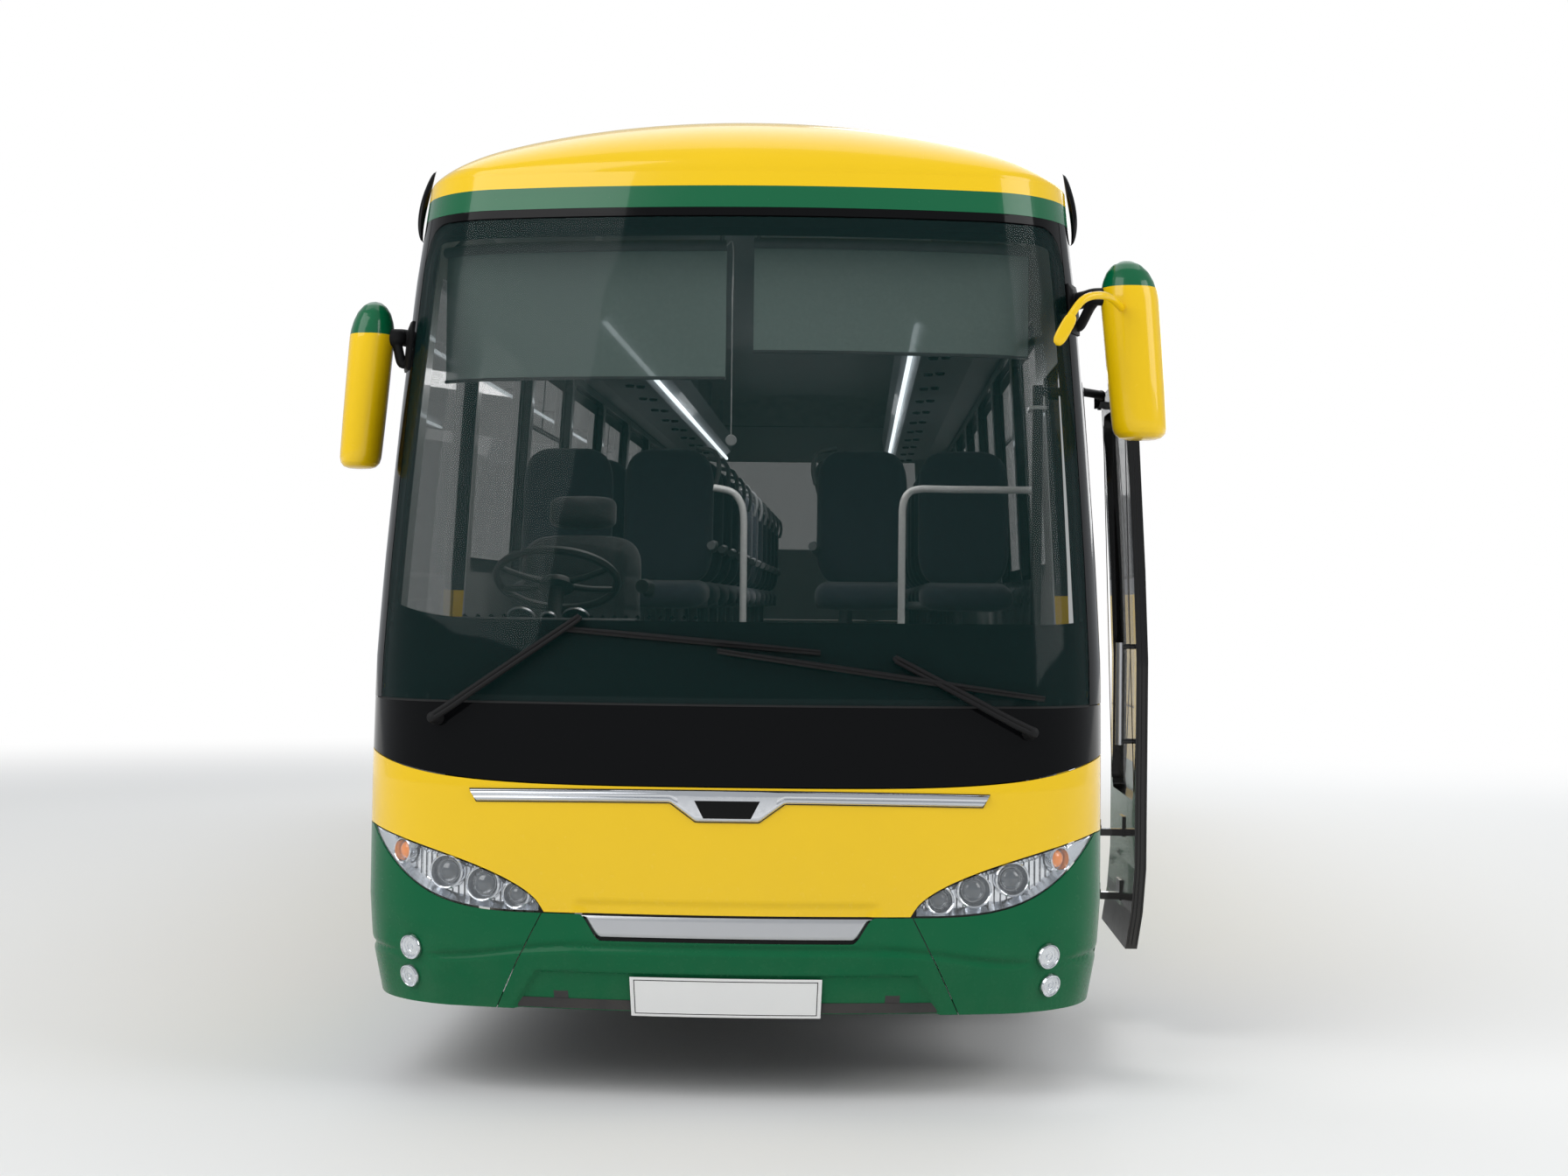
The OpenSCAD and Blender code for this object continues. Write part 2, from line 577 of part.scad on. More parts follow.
// The flat rear of a mirror head lies this far behind its middle
mirror_back = 40;
module mirrors() {
    color(yellow) for (m = MIRRORS) {
        difference() {
            mirror_head(m);
            translate([m[0] * m[1] - 200, m[2] + mirror_back, m[4] - 50])
                cube([400, 300, m[3] - m[4] + 100]);
        }
        // Bracket from the corner pillar into the head's inner side
        z = m[3] - 150;
        s = m[7] * m[0];
        n = skin_out(FRONT, s, z);
        a = skin(FRONT, s, z);
        elbow = [m[0] * (half_w - 30), m[2] - 12, z];
        skin_panel(FRONT, function(u, v) [s + mix(-55, 55, u), z + mix(-120, 60, v)], 4, 3, 12,
            12 + 2 * seat_gap);
        rod(a + 4 * n, a + 34 * n, 29);
        rod(a + 20 * n, elbow, 22);
        rod(elbow, [m[0] * (m[1] - 10), m[2] - 12, z], 22);
        translate(elbow) sphere(26, $fn = 20);
        low = skin(FRONT, s, z - 90);
        rod(low + 4 * n, low + 28 * n, 18);
        rod(low + 18 * n, elbow - [0, 0, 14], 12);
    }
    // Kerb mirror on its bent stalk
    color(yellow) {
        kerb = [[half_w + 70, front_y + 500, 2690], [half_w - 13, front_y + 300, 2715],
            [half_w - 95, front_y + 230, 2700], [half_w - 145, front_y + 210, 2640]];
        for (i = [0:2]) rod(kerb[i], kerb[i + 1], 14, 12);
        translate([half_w - 167, front_y + 200, 2590]) rotate([0, 28, 0]) hull() {
            cube([34, 26, 110], center = true);
            cube([46, 14, 124], center = true);
        }
    }
}
module mirror_glass() {
    color("lightblue") for (m = MIRRORS)
        translate([m[0] * m[1], m[2] + mirror_back + 4.3, (m[3] + m[4]) / 2 - 12])
            rotate([0, -m[0] * atan(mirror_lean), 0]) rotate([90, 0, 0]) linear_extrude(4) round_rect([-m[5] / 2 + 18, -(m[3] - m[4]) / 2 + 74],
                [m[5] / 2 - 18, (m[3] - m[4]) / 2 - 90], 24);
}

glass_in = 4;
rear_glass_x = 960;
rear_glass_z0 = 2120;
rear_glass_z1 = 2860;
module side_pane(y0, y1, z0, z1) {
    intersection() {
        along_y(y0, y1) wall_outline(z0, z1, glass_in, glass_in + glass_t);
        along_x(half_w - 300, half_w + 50)
            round_rect([y0 + seat_gap, z0 + seat_gap], [y1 - seat_gap, z1 - seat_gap], 60 - seat_gap);
    }
}
module glazing() {
    color(glass) {
        both_sides() for (i = [0:window_count - 1])
            side_pane(window_at(i), window_at(i) + window_w, window_z, window_top_z);
        mirror([1, 0, 0]) intersection() {
            along_y(front_y, cab_window_y1) wall_outline(1450, window_top_z, glass_in,
                glass_in + glass_t);
            along_x(half_w - 300, half_w + 50) polygon(cab_window(seat_gap));
        }
        skin_panel(REAR, function(u, v) [mix(-1, 1, u) * (rear_glass_x - 1),
            mix(rear_glass_z0 + seat_gap, rear_glass_z1 - seat_gap, v)], 12, 4, glass_t, -glass_in);
    }
}

rear_t = 40;
lid_x = 820;
lid_z0 = 640;
lid_z1 = 1520;
REAR_ROWS = [skirt_z, 560, lid_z0, 1080, lid_z1, 2100, 2450, rear_glass_z1 + 20, gutter_z];
module rear_hole(half_s, z0, z1) {
    skin_panel(REAR, function(u, v) [mix(-half_s, half_s, u), mix(z0, z1, v)], 12, 4, 110, 30);
}
module rear_wall() {
    s1 = reach(REAR);
    color(yellow) {
        difference() {
            skin_panel(REAR, function(u, v) [mix(-s1, s1, u), REAR_ROWS[round(v * 8)]], 24, 8, rear_t);
            rear_hole(lid_x + gap, lid_z0 - gap, lid_z1 + gap);
            rear_hole(rear_glass_x, rear_glass_z0, rear_glass_z1);
        }
        dome_shell(REAR_DOME, 24, 7, 12);
        // Hinge leaves of the engine lid
        for (x = LID_HINGES)
            box([x - 50, rear_y - 70, lid_z1 + gap], [x + 50, rear_y - 4, lid_z1 + gap + 40]);
    }
}
// The engine lid turns about this line, outside the skin at its hinges
LID_HINGES = [-550, 550];
lid_pin_r = 10;
lid_pin_y = rear_y - 14;
lid_pin_z = lid_z1 + gap - seat_gap - lid_pin_r;
module engine_lid() {
    color(yellow) difference() {
        skin_panel(REAR, function(u, v) [mix(-lid_x, lid_x, u), mix(lid_z0, lid_z1, v)], 12, 4, 25);
        for (i = [0:7]) box([-520, rear_y - 200, lid_z0 + 130 + 50 * i],
            [520, rear_y + 50, lid_z0 + 155 + 50 * i]);
    }
    color(yellow) for (x = LID_HINGES) {
        translate([x - 50, lid_pin_y, lid_pin_z]) rotate([0, 90, 0])
            cylinder(h = 100, r = lid_pin_r, $fn = 24);
        box([x - 50, rear_y - 48, lid_pin_z - 40], [x + 50, lid_pin_y + 4, lid_pin_z - 2]);
    }
    color(dark) for (i = [0:7])
        translate([-524, rear_y - 42, lid_z0 + 128 + 50 * i]) rotate([-35, 0, 0]) cube([1048, 4, 34]);
}
// Tail lamps on each side, each row [height, radius]
TAILS = [[980, 55], [1130, 55], [1280, 55], [520, 50]];
// Distance of the tail lamps from the middle along the skin
tail_s = 930;
module tail_lamps() {
    color("red") both_sides() for (t = TAILS) {
        p = skin(REAR, tail_s, t[0]);
        n = skin_out(REAR, tail_s, t[0]);
        translate(p) rotate([0, acos(n[2]), atan2(n[1], n[0])]) translate([0, 0, seat_gap])
            rotate_extrude($fn = 40) polygon([[0, 0], [t[1], 0], [t[1], 10], [t[1] - 8, 16], [0, 22]]);
    }
}

// Luggage door of bay b on the +x side
module bay_door(b) {
    color(yellow) {
        along_y(BAYS[b][0] + bay_gap / 2, BAYS[b][1] - bay_gap / 2)
            wall_outline(bay_door_z, bay_top_z - 4, 0, 32);
        translate([bead_x, BAYS[b][1] - bay_gap / 2, bead_z]) rotate([90, 0, 0])
            cylinder(h = BAYS[b][1] - BAYS[b][0] - bay_gap, r = bead_r, $fn = 24);
    }
}
module bay_door_l1() { bay_door(0); }
module bay_door_l2() { bay_door(1); }
module bay_door_r1() { mirror([1, 0, 0]) bay_door(0); }
module bay_door_r2() { mirror([1, 0, 0]) bay_door(1); }

// Passenger door, drawn closed and carried to its open place
pillar_x = 1130;
pillar_y = door_y1 - 70;
lug_x = 1120;
lug_dx = lug_x - pillar_x;
lug_y = pillar_y - (door_shift * door_shift + door_out * door_out + 2 * door_out * lug_dx)
    / (2 * door_shift);
arm_r = 17;
// Heights of the door's arms
ARMS = [517, 775, 2512];
door_frame = 62;
// Lower edge of the door's glass
pane_z = 900;
module leaf_place() {
    translate([door_out, door_shift, 0]) children();
}
module door_leaf() {
    color(gloss_black) leaf_place() {
        difference() {
            along_y(door_y0, door_y1) wall_outline(door_z, door_top_z, 0, leaf_t);
            along_x(half_w - 300, half_w + 50)
                round_rect([door_y0 + door_frame, pane_z], [door_y1 - door_frame, door_top_z - 95], 50);
        }
        // Lugs on the inner face that the arms hold
        for (z = ARMS)
            difference() {
                union() {
                    translate([lug_x, lug_y, z - 46]) cylinder(h = 28, r = 22, $fn = 32);
                    box([lug_x, lug_y - 22, z - 46], [half_at(z) - leaf_t + 4, lug_y + 22, z - 18]);
                    box([half_at(z) - leaf_t - 8, lug_y - 60, z - 46],
                        [half_at(z) - leaf_t + 4, lug_y + 60, z + 36]);
                }
                translate([lug_x, lug_y, z - 60]) cylinder(h = 80, r = 8.1, $fn = 32);
            }
        // Grab rail
        rod([half_w - leaf_t - 60, door_y0 + 45, 1120], [half_w - leaf_t - 60, door_y0 + 45, 1520], 14);
        for (z = [1135, 1505])
            rod([half_w - leaf_t - 60, door_y0 + 45, z], [half_at(z) - leaf_t + 6, door_y0 + 45, z],
                10);
    }
}
module door_glass() {
    color(glass) leaf_place() intersection() {
        along_y(door_y0 + 40, door_y1 - 40) wall_outline(pane_z - 50, door_top_z, 10, 10 + glass_t);
        along_x(half_w - 300, half_w + 50)
            round_rect([door_y0 + door_frame + seat_gap, pane_z + seat_gap],
                [door_y1 - door_frame - seat_gap, door_top_z - 95 - seat_gap], 50);
    }
}
open_x = lug_x + door_out;
open_y = lug_y + door_shift;
post_z0 = 392;
post_z1 = 2536;
post_r = 21;
module door_arm() {
    color(dark) {
        translate([pillar_x, pillar_y, post_z0]) cylinder(h = post_z1 - post_z0, r = post_r, $fn = 32);
        for (z = ARMS) {
            path = [[pillar_x, pillar_y, z], [pillar_x + 175, pillar_y - 2, z],
                [pillar_x + 262, pillar_y + 120, z], [open_x, open_y, z]];
            for (i = [0:2]) {
                rod(path[i], path[i + 1], arm_r);
                translate(path[i + 1]) sphere(arm_r + 2, $fn = 20);
            }
            translate([open_x, open_y, z - 17.5]) cylinder(h = 36, r = 22, $fn = 32);
            translate([open_x, open_y, z - 50]) cylinder(h = 50, r = 8, $fn = 32);
        }
    }
}

well_x = 400;
well_y1 = door_y1 + 60;
step_x1 = 1180;
// Entry steps, each row [height, inner x]
STEPS = [[420, step_x1 - 330], [600, step_x1 - 560], [780, well_x]];
module floor() {
    x1 = half_at(floor_z) - wall_t - 0.5;
    color(dark) {
        // Passenger deck with cut-outs left for the wheels
        box([-x1, door_y1 + 560, floor_z - floor_t], [x1, tail_end_y - 60, floor_z]);
        // Driver's deck beside the step well
        box([-x1, nose_end_y + 20, cab_z - floor_t], [well_x, door_y1 + 560, cab_z]);
        box([-x1 + 60, front_y + 330, cab_z - floor_t], [x1 - 60, nose_end_y + 20, cab_z]);
        box([well_x, well_y1, cab_z - floor_t], [x1, door_y1 + 560, cab_z]);
        // Riser between the decks
        box([-x1, door_y1 + 560, cab_z - floor_t], [x1, door_y1 + 600, floor_z]);
        box([-340, door_y1 + 330, cab_z], [340, door_y1 + 560, cab_z + 150]);
        // Step well: treads, risers and ends, with a hole for the door's post
        difference() {
            for (s = STEPS) box([s[1], door_y0 - 20, s[0] - 30], [s[1] + 330, well_y1, s[0]]);
            translate([pillar_x, pillar_y, 0]) cylinder(h = 1000, r = post_r + seat_gap, $fn = 32);
        }
        box([STEPS[0][1] - 20, door_y0 - 20, STEPS[0][0] - 30], [STEPS[0][1], well_y1, STEPS[1][0]]);
        box([STEPS[1][1] - 20, door_y0 - 20, STEPS[1][0] - 30], [STEPS[1][1], well_y1, STEPS[2][0]]);
        box([well_x - 20, door_y0 - 20, STEPS[2][0] - 30], [well_x, well_y1, cab_z]);
        for (y = [door_y0 - 40, well_y1])
            box([well_x - 20, y, STEPS[0][0] - 30], [step_x1, y + 20, cab_z]);
    }
}

rear_rail_x = 300;
module luggage_tub() {
    color(dark) {
        box([-half_w + 75, bay_y0, bay_floor_z - 40], [half_w - 75, bay_y1, bay_floor_z]);
        for (y = [bay_y0, bay_mid_y - 15, bay_y1 - 30])
            box([-half_w + 75, y, bay_floor_z - 1],
                [half_w - 75, y + 30, floor_z - floor_t - seat_gap]);
    }
}
// Towing lug: middle x and y, lower z; its eye stands upright
tow_x = -307;
tow_y = front_y + 175;
tow_z = 345;
tow_t = 30;
jack_y = front_axle_y - 1550;
module chassis() {
    color(dark) {
        // Front and rear rails with their cross beams
        both_sides() {
            box([rail_x, rail_y0, 640], [rail_x + rail_w, bay_y0 - seat_gap, 800]);
            box([rear_rail_x, bay_y1 + seat_gap, 640], [rear_rail_x + 70, rear_y - 160, 800]);
            // Jacking pads
            box([rail_x - 30, jack_y - 60, 610], [rail_x + rail_w + 30, jack_y + 60, 641]);
        }
        for (y = [rail_y0, front_axle_y - 560, front_axle_y + 420, rear_axle_y - 600,
            rear_axle_y + 500, rear_y - 220])
            box([-560, y, 660], [560, y + 60, 780]);
        // Pillars from the rails to the decks
        both_sides() {
            for (y = [front_y + 400, front_axle_y - 700])
                box([rail_x, y, 799], [rail_x + rail_w, y + 40, cab_z - floor_t - seat_gap]);
            for (y = [rear_axle_y - 600, rear_axle_y + 500, rear_y - 300])
                box([rear_rail_x, y, 799], [rear_rail_x + 60, y + 60, floor_z - floor_t - seat_gap]);
            // Closing plates behind the wheelhouses
            box([rail_x + rail_w - 1, front_axle_y - arch_r - 90, 520],
                [half_w - 75, front_axle_y - arch_r - 70, cab_z - floor_t - seat_gap]);
            box([rear_rail_x + 69, rear_axle_y + arch_r + 70, 520],
                [half_w - 75, rear_axle_y + arch_r + 90, floor_z - floor_t - seat_gap]);
        }
        // Towing lug under the front rail
        difference() {
            union() {
                box([tow_x - 40, tow_y - 40, tow_z], [tow_x + 40, tow_y + 155, tow_z + tow_t]);
                box([tow_x - 15, tow_y + 70, tow_z + 10], [tow_x + 15, tow_y + 155, 660]);
            }
            translate([tow_x, tow_y, 200]) cylinder(h = 300, r = 20, $fn = 48);
        }
    }
}

dash_z = 1570;
module dashboard() {
    x1 = half_at(dash_z) - 120;
    s1 = s_at(FRONT, x1);
    edge = [for (i = [0:20]) let (s = mix(-s1, s1, i / 20)) skin(FRONT, s, dash_z)
        - 70 * skin_out(FRONT, s, dash_z)];
    color(dark) {
        translate([0, 0, dash_z - 60]) linear_extrude(60)
            polygon(concat([for (p = edge) [p[0], p[1]]],
                [[x1 - 20, front_y + 690], [-x1 + 20, front_y + 690]]));
        box([-1010, front_y + 430, cab_z + seat_gap], [1010, front_y + 620, dash_z - 60]);
        along_x(driver_x - 330, driver_x + 330)
            polygon([[front_y + 560, dash_z - 2], [front_y + 600, dash_z + 26],
            [front_y + 700, dash_z + 30], [front_y + 790, dash_z - 30], [front_y + 690, 1300],
                [front_y + 610, 1300]]);
        // Steering column and its bracket
        translate([driver_x, steer_y, steer_z]) rotate([-steer_tilt, 0, 0])
            translate([0, 0, -column_end]) cylinder(h = column_end - column_top - seat_gap, r = 32,
                $fn = 32);
        box([driver_x - 30, front_y + 615, 1380], [driver_x + 30, front_y + 880, 1420]);
    }
}

driver_x = -700;
// Steering wheel: middle y and z, tilt from flat, radius of the rim
steer_y = front_y + 990;
steer_z = 1740;
steer_tilt = 28;
steer_r = 225;
// Distances down the column from the wheel's middle
column_top = 150;
column_end = 460;
module steering_wheel() {
    color(dark) translate([driver_x, steer_y, steer_z]) rotate([-steer_tilt, 0, 0]) {
        rotate_extrude($fn = 48) translate([steer_r, 0]) circle(15, $fn = 16);
        for (a = [90, 210, 330]) rotate([0, 0, a]) translate([20, -18, -16])
            cube([steer_r - 20, 36, 12]);
        translate([0, 0, -32]) cylinder(h = 30, r = 62, $fn = 32);
        translate([0, 0, -column_top]) cylinder(h = 120, r = 24, $fn = 32);
    }
}

// Seat outline in y and z: cushion, back and headrest, from the deck up
function seat_outline(w) = [[0, 430], [30, 400], [430, 380], [470, 400], [500, 430], [590, 1050],
    [560, 1120],
    [510, 1110], [470, 1000], [400, 520], [40, 510], [0, 480]];
module seat_at(x, y, z, w) {
    translate([0, y, z]) along_x(x - w / 2, x + w / 2) polygon(seat_outline(w));
}
module driver_seat() {
    color(dark) {
        seat_at(driver_x, steer_y + 260, cab_z + 20, 540);
        box([driver_x - 190, steer_y + 360, cab_z + seat_gap],
            [driver_x + 190, steer_y + 640, cab_z + 430]);
    }
}
seat_x = [aisle_w / 2 + seat_w / 2, aisle_w / 2 + seat_w * 1.5 + 12];
seat_y0 = door_y1 + 640;
seat_pitch = (tail_end_y - 85 - seat_y0) / seat_rows;
module seats() {
    color("slategray") both_sides() for (i = [0:seat_rows - 1]) {
        for (x = seat_x) seat_at(x, seat_y0 + i * seat_pitch, floor_z, seat_w);
        box([seat_x[0] - 120, seat_y0 + i * seat_pitch + 120, floor_z + seat_gap],
            [seat_x[1] + 60, seat_y0 + i * seat_pitch + 330, floor_z + 392]);
    }
}

rack_y0 = door_y1 + 500;
rack_z = gutter_z - 260;
rack_y1 = tail_end_y - 500;
module racks() {
    x1 = half_at(rack_z + 30) - wall_t - seat_gap;
    color("gainsboro") both_sides() {
        along_y(rack_y0, rack_y1) translate([x1, rack_z])
            polygon([[0, 0], [-160, -50], [-420, -70], [-500, 0], [-520, 110], [-490, 120],
                [-460, 20], [-400, -30], [-170, -15], [0, 30]]);
        for (i = [0:6])
            box([x1 - 440, rack_y0 + 60 + i * (rack_y1 - rack_y0 - 150) / 6, rack_z - 32],
                [x1 - 410, rack_y0 + 90 + i * (rack_y1 - rack_y0 - 150) / 6,
                    gutter_z + (roof_rise - roof_t)
                        * sqrt(1 - pow((x1 - 410) / (half_at(gutter_z) - roof_t), 2)) - 3]);
    }
}

// Grab rails, each a list of points
rail_y = door_y1 + 430;
post_y = door_y1 + 130;
RAILS = [[[-60, rail_y, cab_z + 150 + seat_gap], [-60, rail_y, 2060], [-110, rail_y, 2125],
    [-190, rail_y, 2145]],
    [[600, post_y, cab_z + seat_gap], [600, post_y, 2080], [650, post_y, 2130],
        [half_at(2130) - wall_t - 54, post_y, 2130]]];
module handrails() {
    color("white") for (r = RAILS) for (i = [0:2]) {
        rod(r[i], r[i + 1], 15, 16);
        translate(r[i + 1]) sphere(17, $fn = 16);
    }
}
// Sun blinds, each row [first x, last x, lower z, top z]
BLINDS = [[-1050, -60, 2440, 2935], [55, 1060, 2535, 2945]];
blind_in = 150;
hanger_z = 3000;
module blinds() {
    color("gray") for (b = BLINDS) {
        skin_panel(FRONT, function(u, v) [s_at(FRONT, mix(b[0], b[1], u)),
            mix(b[2] + 32, b[3] + 8, v)], 8, 2, 3, -blind_in);
        for (k = [0:5]) {
            p = skin(FRONT, s_at(FRONT, mix(b[0], b[1], k / 6)), b[3] - 20);
            q = skin(FRONT, s_at(FRONT, mix(b[0], b[1], (k + 1) / 6)), b[3] - 20);
            rod(p + [0, blind_in, 0], q + [0, blind_in, 0], 22, 12);
        }
        // Hangers from the screen's header to the roll's ends
        for (x = [b[0] + 30, b[1] - 30]) {
            rod(on_front(x, hanger_z, -28.3 - 5 * seat_gap), on_front(x, hanger_z, -110), 8, 12);
            rod(on_front(x, hanger_z, -106), skin(FRONT, s_at(FRONT, x), b[3] - 20)
                + [0, blind_in, 0], 8, 12);
        }
    }
}

module engine() {
    color("dimgray") box([-460, rear_y - 1650, 820], [460, rear_y - 330, 1180]);
    color("dimgray") box([seat_gap - rear_rail_x, rear_y - 1650, 430],
        [rear_rail_x - seat_gap, rear_y - 330, 820]);
}

unit_y0 = -1500;
unit_len = 2900;
unit_w = 1700;
unit_z = gutter_z + 140;
module roof_unit() {
    color("white") difference() {
        translate([0, unit_y0, 0]) hull() {
            translate([-unit_w / 2, 0, unit_z]) cube([unit_w, unit_len, 10]);
            translate([-unit_w / 2 + 60, 120, unit_z + 240]) cube([unit_w - 120, unit_len - 240, 10]);
            translate([-unit_w / 2 + 240, 300, unit_z + 300]) cube([unit_w - 480, unit_len - 600, 10]);
        }
        along_y(unit_y0 - 50, unit_y0 + unit_len + 50)
            polygon(arch_pts(half_at(gutter_z) + 0.3, roof_rise + 0.3, 24));
        for (i = [0:2]) translate([0, unit_y0 + 700 + 750 * i, unit_z + 270])
            cylinder(h = 100, r = 270, $fn = 48);
    }
}

module axle_front() {
    x1 = kingpin_track / 2 - 75;
    color(dark) {
        along_y(front_axle_y - 50, front_axle_y + 50)
            polygon([[-x1, wheel_z - 60], [-x1 + 120, wheel_z - 130], [x1 - 120, wheel_z - 130],
                [x1, wheel_z - 60],
                [x1, wheel_z + 60], [x1 - 120, wheel_z - 40], [-x1 + 120, wheel_z - 40],
                    [-x1, wheel_z + 60]]);
        both_sides() {
            difference() {
                translate([kingpin_track / 2, front_axle_y, wheel_z - 60])
                    cylinder(h = 120, r = 55, $fn = 32);
                translate([kingpin_track / 2, front_axle_y, wheel_z - 70])
                    cylinder(h = 140, r = 25.05, $fn = 32);
            }
            box([x1 - 4, front_axle_y - 45, wheel_z - 60],
                [kingpin_track / 2 - 40, front_axle_y + 45, wheel_z + 60]);
            // Air springs up to the rails and the deck
            translate([310, front_axle_y, wheel_z - 42])
                cylinder(h = 640 - wheel_z + 42 - seat_gap, r = 60, $fn = 32);
        }
    }
}
module knuckle() {
    color(steel) {
        translate([kingpin_track / 2, front_axle_y, wheel_z - 95]) cylinder(h = 190, r = 25, $fn = 32);
        for (z = [wheel_z - 95, wheel_z + 62])
            translate([kingpin_track / 2, front_axle_y, z]) cylinder(h = 33, r = 58, $fn = 32);
        box([kingpin_track / 2 + 58, front_axle_y - 55, wheel_z - 95],
            [kingpin_track / 2 + 88, front_axle_y + 55, wheel_z + 95]);
        for (z = [wheel_z - 95, wheel_z + 62])
            box([kingpin_track / 2, front_axle_y - 50, z],
                [kingpin_track / 2 + 80, front_axle_y + 50, z + 33]);
        translate([kingpin_track / 2 + 80, front_axle_y, wheel_z]) rotate([0, 90, 0])
            cylinder(h = 215, r = 40, $fn = 32);
    }
}
module knuckle_left() { knuckle(); }
module knuckle_right() { mirror([1, 0, 0]) knuckle(); }

rim_w = 230;
module wheel_at(x, y) {
    translate([x, y, wheel_z]) rotate([0, 90, 0]) children();
}
// Tyre outline: radius and offset along the axle
module tyre_solid() {
    r0 = rim_d / 2 + 0.3;
    r1 = tyre_d / 2;
    w = tyre_w / 2;
    rotate_extrude($fn = 96) polygon([[r0, -w + 53], [r0 + 14.2, -w + 36.4], [r0 + 30, -w + 20],
        [r0 + 90, -w + 2], [r0 + 150, -w],
        [r1 - 50, -w + 6], [r1 - 16, -w + 22], [r1, -w + 44], [r1, w - 44], [r1 - 16, w - 22],
        [r1 - 50, w - 6], [r0 + 150, w], [r0 + 90, w - 2], [r0 + 30, w - 20],
        [r0 + 14.2, w - 36.4], [r0, w - 53]]);
}
// Disc wheel: dish is the side on which the disc stands out, bore fits a stub or hub
module rim_solid(dish, bore) {
    r = rim_d / 2;
    w = rim_w / 2;
    rotate_extrude($fn = 72) polygon([[r, -w + 14], [r + 14, -w], [r + 14, -w + 6], [r - 6, -w + 30],
        [r - 26, -w + 60], [r - 26, w - 60], [r - 6, w - 30], [r + 14, w - 6], [r + 14, w], [r, w - 14],
        [r - 16, w - 34], [r - 36, w - 64], [r - 36, -w + 64], [r - 16, -w + 34]]);
    difference() {
        rotate_extrude($fn = 72) polygon([for (p = [[bore, 20], [150, 20], [175, 30], [210, 70],
            [r - 28, 62],
            [r - 28, 50], [215, 58], [185, 18], [155, 6], [bore, 6]]) [p[0], p[1] * dish]]);
        for (i = [0:9]) rotate([0, 0, 36 * i]) translate([196, 0, -120])
            cylinder(h = 240, r = 22, $fn = 24);
    }
}
stub_r = 40.05;
module front_wheel_place() {
    wheel_at(track_front / 2, front_axle_y) children();
}
module rim_fl() {
    color("silver") front_wheel_place() {
        rim_solid(1, stub_r);
        difference() {
            cylinder(h = 95, r = 100, $fn = 48);
            translate([0, 0, -200]) cylinder(h = 286, r = stub_r, $fn = 48);
        }
    }
}
module rim_fr() { mirror([1, 0, 0]) rim_fl(); }
module tyre_fl() { color(dark) front_wheel_place() tyre_solid(); }
module tyre_fr() { mirror([1, 0, 0]) tyre_fl(); }
module rims_rl() {
    color("silver") {
        for (k = [-1, 1]) wheel_at(track_rear / 2 + k * twin_pitch / 2, rear_axle_y)
            rim_solid(-k, stub_r);
        wheel_at(track_rear / 2, rear_axle_y) difference() {
            translate([0, 0, -twin_pitch / 2 + 6]) cylinder(h = twin_pitch - 12, r = 140, $fn = 48);
            translate([0, 0, -300]) cylinder(h = 600, r = stub_r, $fn = 48);
        }
    }
}
module rims_rr() { mirror([1, 0, 0]) rims_rl(); }
module tyres_rl() {
    color(dark) for (k = [-1, 1]) wheel_at(track_rear / 2 + k * twin_pitch / 2, rear_axle_y)
        tyre_solid();
}
module tyres_rr() { mirror([1, 0, 0]) tyres_rl(); }
module axle_rear() {
    x1 = track_rear / 2 - twin_pitch / 2 - 15;
    color(dark) {
        translate([-x1, rear_axle_y, wheel_z]) rotate([0, 90, 0])
            cylinder(h = 2 * x1, r = 75, $fn = 40);
        translate([-x1 - 330, rear_axle_y, wheel_z]) rotate([0, 90, 0])
            cylinder(h = 2 * x1 + 660, r = 40, $fn = 32);
        translate([0, rear_axle_y, wheel_z]) scale([0.7, 1, 1]) sphere(210, $fn = 32);
        both_sides() {
            translate([390, rear_axle_y - 250, wheel_z + 30])
                cylinder(h = 640 - wheel_z - 30 - seat_gap, r = 70, $fn = 32);
            box([350, rear_axle_y - 300, wheel_z - 10], [430, rear_axle_y + 60, wheel_z + 31]);
        }
    }
}

chassis();
luggage_tub();
front_frame();
floor();
wall_left();
wall_right();
roof();
roof_cap();
screen_frame();
windscreen();
mask();
front_panel();
bumper();
headlamps();
lamp_glass();
front_trim();
plates();
wipers();
mirrors();
mirror_glass();
glazing();
rear_wall();
tail_lamps();
engine_lid();
bay_door_l1();
bay_door_l2();
bay_door_r1();
bay_door_r2();
door_arm();
door_leaf();
door_glass();
dashboard();
steering_wheel();
driver_seat();
seats();
racks();
handrails();
blinds();
engine();
roof_unit();
axle_front();
axle_rear();
knuckle_left();
knuckle_right();
rim_fl();
rim_fr();
rims_rl();
rims_rr();
tyre_fl();
tyre_fr();
tyres_rl();
tyres_rr();
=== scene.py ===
"""Looks for an airport passenger bus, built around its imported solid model."""
import math
from functools import partial

import bmesh
import bpy
import numpy as np
from mathutils import Matrix, Vector


